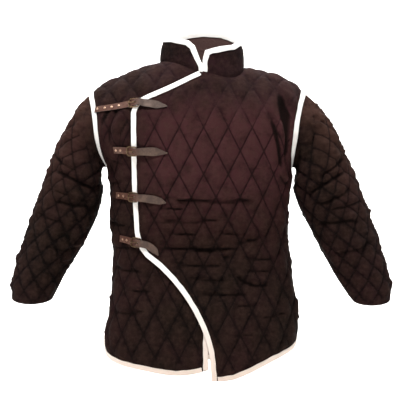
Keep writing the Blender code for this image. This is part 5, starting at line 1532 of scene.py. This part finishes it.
@functools.cache
def binding_cotton():
    """White cotton binding tape: soft, bright, faintly ribbed, yellowed a little towards the hem."""
    colours = bpy.context.scene.gambeson_colours
    made, tree, shader = new_material("cotton binding tape", 0.85, Sheen_Weight=0.15, Specular_IOR_Level=0.25)
    place = add_node(tree, "ShaderNodeTexCoord").outputs["Object"]
    height = add_node(tree, "ShaderNodeSeparateXYZ", {"Vector": place}).outputs["Z"]
    stains = add_node(tree, "ShaderNodeTexNoise", {"Vector": place, "Scale": STAIN_SCALE, "Detail": 4.0})
    ribs = add_node(tree, "ShaderNodeTexNoise", {"Vector": place, "Scale": RIB_SCALE, "Detail": 3.0})
    base = laid_over(tree, linear(colours.tape),
                     (height, YELLOWED, (0.0, 0.85), colours.tape_low),
                     (stains.outputs["Fac"], (0.5, 0.85), (0.0, 0.45), colours.tape_low))
    tree.links.new(base, shader.inputs["Base Color"])
    bump = add_node(tree, "ShaderNodeBump", {"Height": ribs.outputs["Fac"], "Strength": 0.5,
                                             "Distance": 0.5 * MM})
    tree.links.new(bump.outputs["Normal"], shader.inputs["Normal"])
    return made


@functools.cache
def strap_leather():
    """Waxed veg-tan strap leather: brown, fine grained, rubbed paler in patches, with painted shade on its
    cut edges.
    """
    colours = bpy.context.scene.gambeson_colours
    made, tree, shader = new_material("waxed veg-tan leather", 0.6, Specular_IOR_Level=0.3)
    place = add_node(tree, "ShaderNodeTexCoord").outputs["Object"]
    across = add_node(tree, "ShaderNodeSeparateXYZ", {"Vector": place}).outputs["X"]
    rubbed = add_node(tree, "ShaderNodeTexNoise", {"Vector": place, "Scale": RUB_SCALE, "Detail": 6.0,
                                                   "Roughness": 0.7}).outputs["Fac"]
    grain = add_node(tree, "ShaderNodeTexVoronoi", {"Vector": place, "Scale": GRAIN_SCALE})
    face = laid_over(tree, linear(colours.leather),
                     (across, RED_LEATHER, (0.0, 1.0), colours.leather_red),
                     (rubbed, (0.45, 0.75), (0.0, 0.6), colours.leather_rubbed))
    # painted shade on the strap's cut edges, that outlines it against the cloth
    edge = add_node(tree, "ShaderNodeAttribute", attribute_name="edge")
    both = add_node(tree, "ShaderNodeMix", {0: edge.outputs["Fac"], 6: face, 7: linear(colours.strap_side_shade)},
                    data_type="RGBA")
    tree.links.new(both.outputs[2], shader.inputs["Base Color"])
    gloss = add_node(tree, "ShaderNodeMapRange", {"Value": rubbed, "From Min": 0.3, "From Max": 0.7,
                                                  "To Min": 0.7, "To Max": 0.52})
    tree.links.new(gloss.outputs[0], shader.inputs["Roughness"])
    bump = add_node(tree, "ShaderNodeBump", {"Height": grain.outputs["Distance"], "Strength": 0.35,
                                             "Distance": 0.3 * MM})
    tree.links.new(bump.outputs["Normal"], shader.inputs["Normal"])
    return made


def metal(name, colour, tarnish, roughness):
    """Cast or peened metal, duller and browner where it is tarnished."""
    made, tree, shader = new_material(name, roughness, Metallic=0.9)
    place = add_node(tree, "ShaderNodeTexCoord").outputs["Object"]
    spots = add_node(tree, "ShaderNodeTexNoise", {"Vector": place, "Scale": SPOT_SCALE, "Detail": 4.0})
    base = laid_over(tree, linear(colour), (spots.outputs["Fac"], (0.4, 0.65), (0.0, 1.0), tarnish))
    tree.links.new(base, shader.inputs["Base Color"])
    dull = add_node(tree, "ShaderNodeMapRange", {
        "Value": spots.outputs["Fac"], "From Min": 0.3, "From Max": 0.7, "To Min": roughness - 0.1,
        "To Max": roughness + 0.15})
    tree.links.new(dull.outputs[0], shader.inputs["Roughness"])
    return made


@functools.cache
def antique_brass():
    """Cast brass darkened brown in its hollows, with a low gloss on its rubbed edges."""
    return metal("antique brass", bpy.context.scene.gambeson_colours.brass, "#2e211a", 0.38)


@functools.cache
def copper_rivet():
    """Drawn copper rivet heads, paler and brighter than the buckles from being peened."""
    return metal("peened copper", bpy.context.scene.gambeson_colours.rivet, "#7d5c48", 0.36)


@functools.cache
def sewing_thread(name):
    """Matt spun cotton thread."""
    colours = bpy.context.scene.gambeson_colours
    colour = {"quilting thread": colours.thread, "tape thread": colours.tape}[name]
    made, tree, shader = new_material(name, 0.9, Sheen_Weight=0.01, Specular_IOR_Level=0.04)
    place = add_node(tree, "ShaderNodeTexCoord").outputs["Object"]
    twist = add_node(tree, "ShaderNodeTexNoise", {"Vector": place, "Scale": TWIST_SCALE}).outputs["Fac"]
    base = laid_over(tree, linear(colour), (twist, (0.35, 0.65), (0.0, 0.3), "#20181a"))
    tree.links.new(base, shader.inputs["Base Color"])
    return made


def dress(piece, material):
    """Gives a piece its material, and has it ride on the garment."""
    piece.data.materials.clear()
    piece.data.materials.append(material)
    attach(piece, "root")
    return piece


# ---------------------------------------------------------------- stitches

@functools.cache
def stitch_tree():
    """A small sewn stitch at every pitch along the lines of a mesh."""
    tree = bpy.data.node_groups.new("stitches", "GeometryNodeTree")
    tree.is_modifier = True
    face = tree.interface
    face.new_socket("Lines", in_out="INPUT", socket_type="NodeSocketGeometry")
    for size in ("Pitch", "Length", "Thickness"):
        face.new_socket(size, in_out="INPUT", socket_type="NodeSocketFloat")
    face.new_socket("Thread", in_out="INPUT", socket_type="NodeSocketMaterial")
    face.new_socket("Stitches", in_out="OUTPUT", socket_type="NodeSocketGeometry")
    given = add_node(tree, "NodeGroupInput").outputs
    curve = add_node(tree, "GeometryNodeMeshToCurve", {"Mesh": given["Lines"]})
    even = add_node(tree, "GeometryNodeResampleCurve", {"Curve": curve.outputs[0], "Length": given["Pitch"]},
                    mode="LENGTH")
    ahead = add_node(tree, "GeometryNodeInputTangent")
    turn = add_node(tree, "FunctionNodeAlignRotationToVector", {"Vector": ahead.outputs[0]}, axis="Z")
    size = add_node(tree, "ShaderNodeCombineXYZ", {"X": given["Thickness"], "Y": given["Thickness"],
                                                   "Z": given["Length"]})
    bead = add_node(tree, "GeometryNodeMeshUVSphere", {"Segments": 4, "Rings": 3, "Radius": 0.5})
    placed = add_node(tree, "GeometryNodeInstanceOnPoints", {
        "Points": even.outputs[0], "Instance": bead.outputs[0], "Rotation": turn.outputs[0],
        "Scale": size.outputs[0]})
    real = add_node(tree, "GeometryNodeRealizeInstances", {"Geometry": placed.outputs[0]})
    coloured = add_node(tree, "GeometryNodeSetMaterial", {"Geometry": real.outputs[0],
                                                          "Material": given["Thread"]})
    add_node(tree, "NodeGroupOutput", {0: coloured.outputs[0]})
    return tree


def sew(name, runs, thread):
    """Stitches along runs of points, as one plain mesh."""
    look = bpy.context.scene.gambeson_stitches
    points, edges = [], []
    for run in runs:
        start = len(points)
        points.extend(map(tuple, run))
        edges.extend((k, k + 1) for k in range(start, len(points) - 1))
    lines = bpy.data.meshes.new(name + " lines")
    lines.from_pydata(points, edges, [])
    holder = bpy.data.objects.new(name + " lines", lines)
    bpy.context.scene.collection.objects.link(holder)
    tree = stitch_tree()
    sockets = {item.name: item.identifier for item in tree.interface.items_tree if item.in_out == "INPUT"}
    modifier = holder.modifiers.new("stitches", "NODES")
    modifier.node_group = tree
    modifier[sockets["Pitch"]] = look.pitch
    modifier[sockets["Length"]] = look.length
    modifier[sockets["Thickness"]] = look.thickness
    modifier[sockets["Thread"]] = sewing_thread(thread)
    bpy.context.view_layer.update()
    graph = bpy.context.evaluated_depsgraph_get()
    mesh = bpy.data.meshes.new_from_object(holder.evaluated_get(graph), depsgraph=graph)
    bpy.data.objects.remove(holder)
    piece = finish_mesh(mesh, name, 80)
    return dress(piece, sewing_thread(thread))


STITCH_LINE_STEP = 4 * MM     # between points of a stitch line, up the panel
STITCH_ROOM = 2 * MM          # left bare beside a seam or tape
STITCH_PROUD = 0.2 * MM       # the quilting's thread stands this high over the cloth
TAPE_STITCH_IN = 1.8 * MM     # the tape's stitches run this far from its inner edge
TAPE_STITCH_PROUD = 0.35 * MM


def kept_runs(flags):
    """Start and end of each stretch of true flags."""
    edges = np.flatnonzero(np.diff(np.r_[False, flags, False].astype(int)))
    return list(zip(edges[::2], edges[1::2]))


def quilting_runs(panel):
    """The stitch lines over a panel, on its outer face."""
    low, high = panel.loop.min(axis=0), panel.loop.max(axis=0)
    size, at = np.array(panel.quilting.size), np.array(panel.quilting.at)
    runs = []
    for slope in (1, -1):
        lines = [((s - at[0]) / size[0] - slope * (t - at[1]) / size[1])
                 for s in (low[0], high[0]) for t in (low[1], high[1])]
        for k in range(math.floor(min(lines)), math.ceil(max(lines)) + 1):
            t = np.arange(low[1], high[1], STITCH_LINE_STEP)
            s = at[0] + (k + slope * (t - at[1]) / size[1]) * size[0]
            st = np.column_stack((s, t))
            good = inside(st, panel.loop)
            if not good.any():
                continue
            room = np.min([distance(st[good], points) - (INSET if name in panel.bound else 0)
                           for name, points in panel.edges.items()], axis=0)
            good[good] = room > STITCH_ROOM
            for start, end in kept_runs(good):
                if end - start > 2:
                    part = st[start:end]
                    points, normals = panel.frame(part)
                    runs.append(points + normals * (panel.fine_thickness(part) + STITCH_PROUD)[:, None])
    return runs


# ---------------------------------------------------------------- settings

def length_setting(name, description, default):
    return FloatProperty(name=name, description=description, default=default, min=0.0, unit="LENGTH",
                         precision=4)


def colour_setting(name, description, default):
    return FloatVectorProperty(name=name, description=description, default=linear(default)[:3],
                               subtype="COLOR", min=0.0, max=1.0)


class GambesonCloth(bpy.types.PropertyGroup):
    """Form of the padded cloth."""

    puff: length_setting("Puff", "Height of the padding in the middle of a diamond", 6.6 * MM)
    pucker: length_setting("Pucker", "Height of the small wrinkles between stitch lines", 3.0 * MM)
    crease: FloatProperty(name="Creases", description="Depth of the creases, in their usual depth",
                          default=1.3, min=0.0, max=1.5, subtype="FACTOR")
    detail: IntProperty(name="Detail", description="Times each triangle of cloth is cut into four", default=2,
                        min=0, max=3)


class GambesonTape(bpy.types.PropertyGroup):
    """Form of the binding tape."""

    wave: length_setting("Wave", "Height of the small waves along the tape", 0.35 * MM)
    step: length_setting("Step", "Distance between sections along the tape", 5 * MM)


class GambesonStitches(bpy.types.PropertyGroup):
    """Sizes of the sewing."""

    pitch: length_setting("Pitch", "Distance from one stitch to the next", 5 * MM)
    length: length_setting("Length", "Length of a stitch", 3.6 * MM)
    thickness: length_setting("Thickness", "Thickness of the thread, drawn heavy enough to show", 0.9 * MM)


class GambesonColours(bpy.types.PropertyGroup):
    """Colours of the materials."""

    body: colour_setting("Body", "Canvas over the chest and back", "#381f21")
    # waist, lower body, shoulders and collar: darker by height as painted shade; the lower body's tone also
    # dulls the wearer's right side
    body_mid: colour_setting("Waist", "Canvas at the waist", "#1d0f0e")
    body_low: colour_setting("Lower body", "Canvas towards the hem", "#100b09")
    body_top: colour_setting("Shoulders", "Canvas over the shoulders", "#201415")
    collar: colour_setting("Collar", "Canvas of the collar", "#0c0808")
    lining: colour_setting("Inside", "Undyed side of the canvas, seen in the collar", "#4c3936")
    sleeve: colour_setting("Sleeves", "Canvas at the top of the sleeves", "#301f1a")
    # painted shade: the cuffs are darker than the top of the sleeves
    sleeve_low: colour_setting("Cuffs", "Canvas towards the cuffs", "#110c0b")
    cloth_warm: colour_setting("Warm cloth", "Redder patches of the canvas", "#2b1418")
    cloth_lint: colour_setting("Lint", "Pale bloom of fuzz on the canvas", "#3b2b25")
    # painted highlight on the crowns of the padding
    cloth_rubbed: colour_setting("Rubbed cloth", "Painted highlight on top of the padding", "#38271f")
    # painted shade on the sleeves' inner sides, next to the body
    cloth_deep: colour_setting("Unfaded cloth", "Canvas on the inner side of the sleeves", "#060504")
    # colour of the darker patches, and painted shade in stitch lines and creases
    cloth_valley: colour_setting("Stitch lines", "Canvas down in stitch lines and creases", "#080504")
    tape: colour_setting("Tape", "White of the tape", "#e6e3df")
    tape_low: colour_setting("Yellowed tape", "Tape towards the hem", "#c4ae9f")
    leather: colour_setting("Leather", "Free ends of the straps", "#3f3029")
    leather_red: colour_setting("Red leather", "Sewn ends of the straps", "#4a2b20")
    # painted shade on the straps' cut edges
    strap_side_shade: colour_setting("Leather edges", "Painted shade on the straps' cut edges", "#150e0b")
    leather_rubbed: colour_setting("Rubbed leather", "Worn patches of the straps", "#6d5548")
    brass: colour_setting("Brass", "Rubbed parts of the buckles", "#8d7358")
    rivet: colour_setting("Rivet", "Heads of the rivets", "#d6b59c")
    thread: colour_setting("Quilting thread", "Thread of the quilting", "#0e0808")


# ---------------------------------------------------------------- operators

CUT_SLOPE = 0.55             # a strap's faces that look less forward than this are its cut edges, which get painted shade


class GAMBESON_OT_cloth(bpy.types.Operator):
    """Builds the quilted fronts, back, sleeves and collar over their solids"""

    bl_idname = "gambeson.cloth"
    bl_label = "Quilted cloth"

    def execute(self, context):
        panels, _ = garment()
        for name, panel in panels.items():
            piece = dress(panel.build(context.scene.gambeson_cloth.detail), cotton_canvas())
            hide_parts(name)
        return {"FINISHED"}


class GAMBESON_OT_bindings(bpy.types.Operator):
    """Builds the folded tape round every bound edge"""

    bl_idname = "gambeson.bindings"
    bl_label = "Binding tape"

    def execute(self, context):
        _, tapes = garment()
        look = context.scene.gambeson_tape
        for number, (name, (rows, closed, gap)) in enumerate(tapes.items()):
            rows, marks = retrace(rows, closed, look.step)
            sections = tape_sections(rows, marks, gap, TAPE_SEED + number)
            piece = dress(loft("tape_" + name, sections, closed), binding_cotton())
            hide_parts("binding_" + name)
            line = sections[:, 1] + unit(sections[:, 2] - sections[:, 1]) * TAPE_STITCH_IN
            line = line + unit(rows[4]) * TAPE_STITCH_PROUD
            line = np.vstack((line, line[:1])) if closed else line
            sew("tape_stitches_" + name, [line], "tape thread")
        return {"FINISHED"}


class GAMBESON_OT_quilting(bpy.types.Operator):
    """Sews the diamond stitch lines"""

    bl_idname = "gambeson.quilting"
    bl_label = "Quilting stitches"

    def execute(self, context):
        panels, _ = garment()
        for name, panel in panels.items():
            if panel.quilting:
                sew("quilting_" + name, quilting_runs(panel), "quilting thread")
        return {"FINISHED"}


class GAMBESON_OT_leather(bpy.types.Operator):
    """Gives the straps and the buckles' anchors their leather"""

    bl_idname = "gambeson.leather"
    bl_label = "Leather straps"

    def execute(self, context):
        for name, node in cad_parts.items():
            if name.startswith(("strap", "chape")):
                # the cut edges that get painted shade
                cut = [float(abs(face.normal.y) < CUT_SLOPE) for face in node.data.polygons]
                node.data.attributes.new("edge", "FLOAT", "FACE").data.foreach_set("value", cut)
                node.data.materials.clear()
                node.data.materials.append(strap_leather())
        return {"FINISHED"}


class GAMBESON_OT_metal(bpy.types.Operator):
    """Finishes the buckles, prongs and rivets"""

    bl_idname = "gambeson.metal"
    bl_label = "Buckles and rivets"

    def execute(self, context):
        for name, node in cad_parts.items():
            if name.startswith(("buckle", "prong", "rivet")):
                node.data.materials.clear()
                node.data.materials.append(copper_rivet() if name.startswith("rivet") else antique_brass())
        return {"FINISHED"}


FLOOR = -1.02
BACKDROP_HALF = 9.0          # half of its width
BACKDROP_FRONT = -6.0        # y where the floor begins
BACKDROP_BEND = 1.6          # y where it begins to curve up into the wall
BACKDROP_RADIUS = 0.9        # of that curve
BACKDROP_TOP = 4.0
VIEW_FROM = (-0.0013, -3.2, -0.370)
VIEW_ANGLE = 19.0
WORLD_LIGHT = 0.08
LIGHTS = table("name place aim size power",
    ("key", (-0.6, -1.9, 2.8), (0, 0, -0.25), (0.7, 0.7), 195),
    ("fill", (1.6, -3.0, 0.0), (0, 0, -0.4), (1.6, 1.6), 12),
    ("collar", (0.2, 0.0, 2.0), (0, 0, 0), (0.6, 0.6), 6),
    ("left rim", (-2.6, 0.4, 0.6), (-0.3, 0, -0.4), (1.0, 1.6), 14),
    ("right rim", (2.6, 0.4, 0.6), (0.3, 0, -0.4), (1.0, 1.6), 24),
    ("back", (0, 2.0, 1.6), (0, 0, -0.3), (2.0, 1.2), 40),
    ("backdrop", (0, 0.9, 2.6), (0, 2.5, -0.4), (4.0, 1.0), 280)
)


class GAMBESON_OT_stage(bpy.types.Operator):
    """Sets up the pale floor, the soft lights and the camera"""

    bl_idname = "gambeson.stage"
    bl_label = "Floor, light and camera"

    def execute(self, context):
        scene = context.scene
        profile = [(BACKDROP_FRONT, FLOOR)]
        for turn in range(0, 91, 10):
            angle = math.radians(turn)
            profile.append((BACKDROP_BEND + BACKDROP_RADIUS * math.sin(angle),
                            FLOOR + BACKDROP_RADIUS * (1 - math.cos(angle))))
        profile.append((BACKDROP_BEND + BACKDROP_RADIUS, BACKDROP_TOP))
        points = [(x, y, z) for y, z in profile for x in (-BACKDROP_HALF, BACKDROP_HALF)]
        faces = [(2 * k, 2 * k + 1, 2 * k + 3, 2 * k + 2) for k in range(len(profile) - 1)]
        mesh = bpy.data.meshes.new("backdrop")
        mesh.from_pydata(points, [], faces)
        backdrop = finish_mesh(mesh, "backdrop", 60)
        made, tree, shader = new_material("matt white paper", 0.95)
        shader.inputs["Base Color"].default_value = linear("#f6f5f3")
        behind = add_node(tree, "ShaderNodeNewGeometry").outputs["Backfacing"]
        clear = add_node(tree, "ShaderNodeMapRange", {"Value": behind, "To Min": 1.0, "To Max": 0.0})
        tree.links.new(clear.outputs[0], shader.inputs["Alpha"])   # seen through from behind
        backdrop.data.materials.append(made)
        for name, place, aim, size, power in LIGHTS:
            light = bpy.data.lights.new(name, "AREA")
            light.shape = "RECTANGLE"
            light.size, light.size_y = size
            light.energy = power
            lamp = bpy.data.objects.new(name, light)
            lamp.location = place
            lamp.rotation_euler = (Vector(aim) - Vector(place)).to_track_quat("-Z", "Y").to_euler()
            scene.collection.objects.link(lamp)
        world = bpy.data.worlds.new("studio")
        world.use_nodes = True
        ground = world.node_tree.nodes["Background"]
        ground.inputs["Color"].default_value = (1.0, 1.0, 1.0, 1.0)
        ground.inputs["Strength"].default_value = WORLD_LIGHT
        scene.world = world
        scene.view_settings.view_transform = "Standard"
        lens = bpy.data.cameras.new("camera")
        lens.angle = math.radians(VIEW_ANGLE)
        lens.clip_end = 50
        camera = bpy.data.objects.new("camera", lens)
        camera.location = VIEW_FROM
        camera.rotation_euler = (math.radians(90), 0, 0)
        scene.collection.objects.link(camera)
        scene.camera = camera
        return {"FINISHED"}


class GAMBESON_PT_panel(bpy.types.Panel):
    """Lists the steps and their settings"""

    bl_idname = "GAMBESON_PT_panel"
    bl_label = "Gambeson"
    bl_space_type = "VIEW_3D"
    bl_region_type = "UI"
    bl_category = "Gambeson"

    def draw(self, context):
        for name, group in SETTINGS.items():
            box = self.layout.box()
            box.label(text=group.__doc__)
            for key in group.__annotations__:
                box.prop(getattr(context.scene, name), key)
        for operator in OPERATORS:
            self.layout.operator(operator.bl_idname)


OPERATORS = (GAMBESON_OT_bindings, GAMBESON_OT_quilting, GAMBESON_OT_leather, GAMBESON_OT_metal,
             GAMBESON_OT_cloth, GAMBESON_OT_stage)
SETTINGS = {
    "gambeson_cloth": GambesonCloth,
    "gambeson_tape": GambesonTape,
    "gambeson_stitches": GambesonStitches,
    "gambeson_colours": GambesonColours,
}


def register():
    for made in (*SETTINGS.values(), *OPERATORS, GAMBESON_PT_panel):
        bpy.utils.register_class(made)
    for name, group in SETTINGS.items():
        setattr(bpy.types.Scene, name, PointerProperty(type=group))


def unregister():
    for name in SETTINGS:
        delattr(bpy.types.Scene, name)
    for made in (GAMBESON_PT_panel, *OPERATORS[::-1], *reversed(SETTINGS.values())):
        bpy.utils.unregister_class(made)


def main():
    register()
    bpy.ops.gambeson.bindings()
    bpy.ops.gambeson.quilting()
    bpy.ops.gambeson.leather()
    bpy.ops.gambeson.metal()
    bpy.ops.gambeson.cloth()
    bpy.ops.gambeson.stage()


if __name__ == "__main__":
    main()
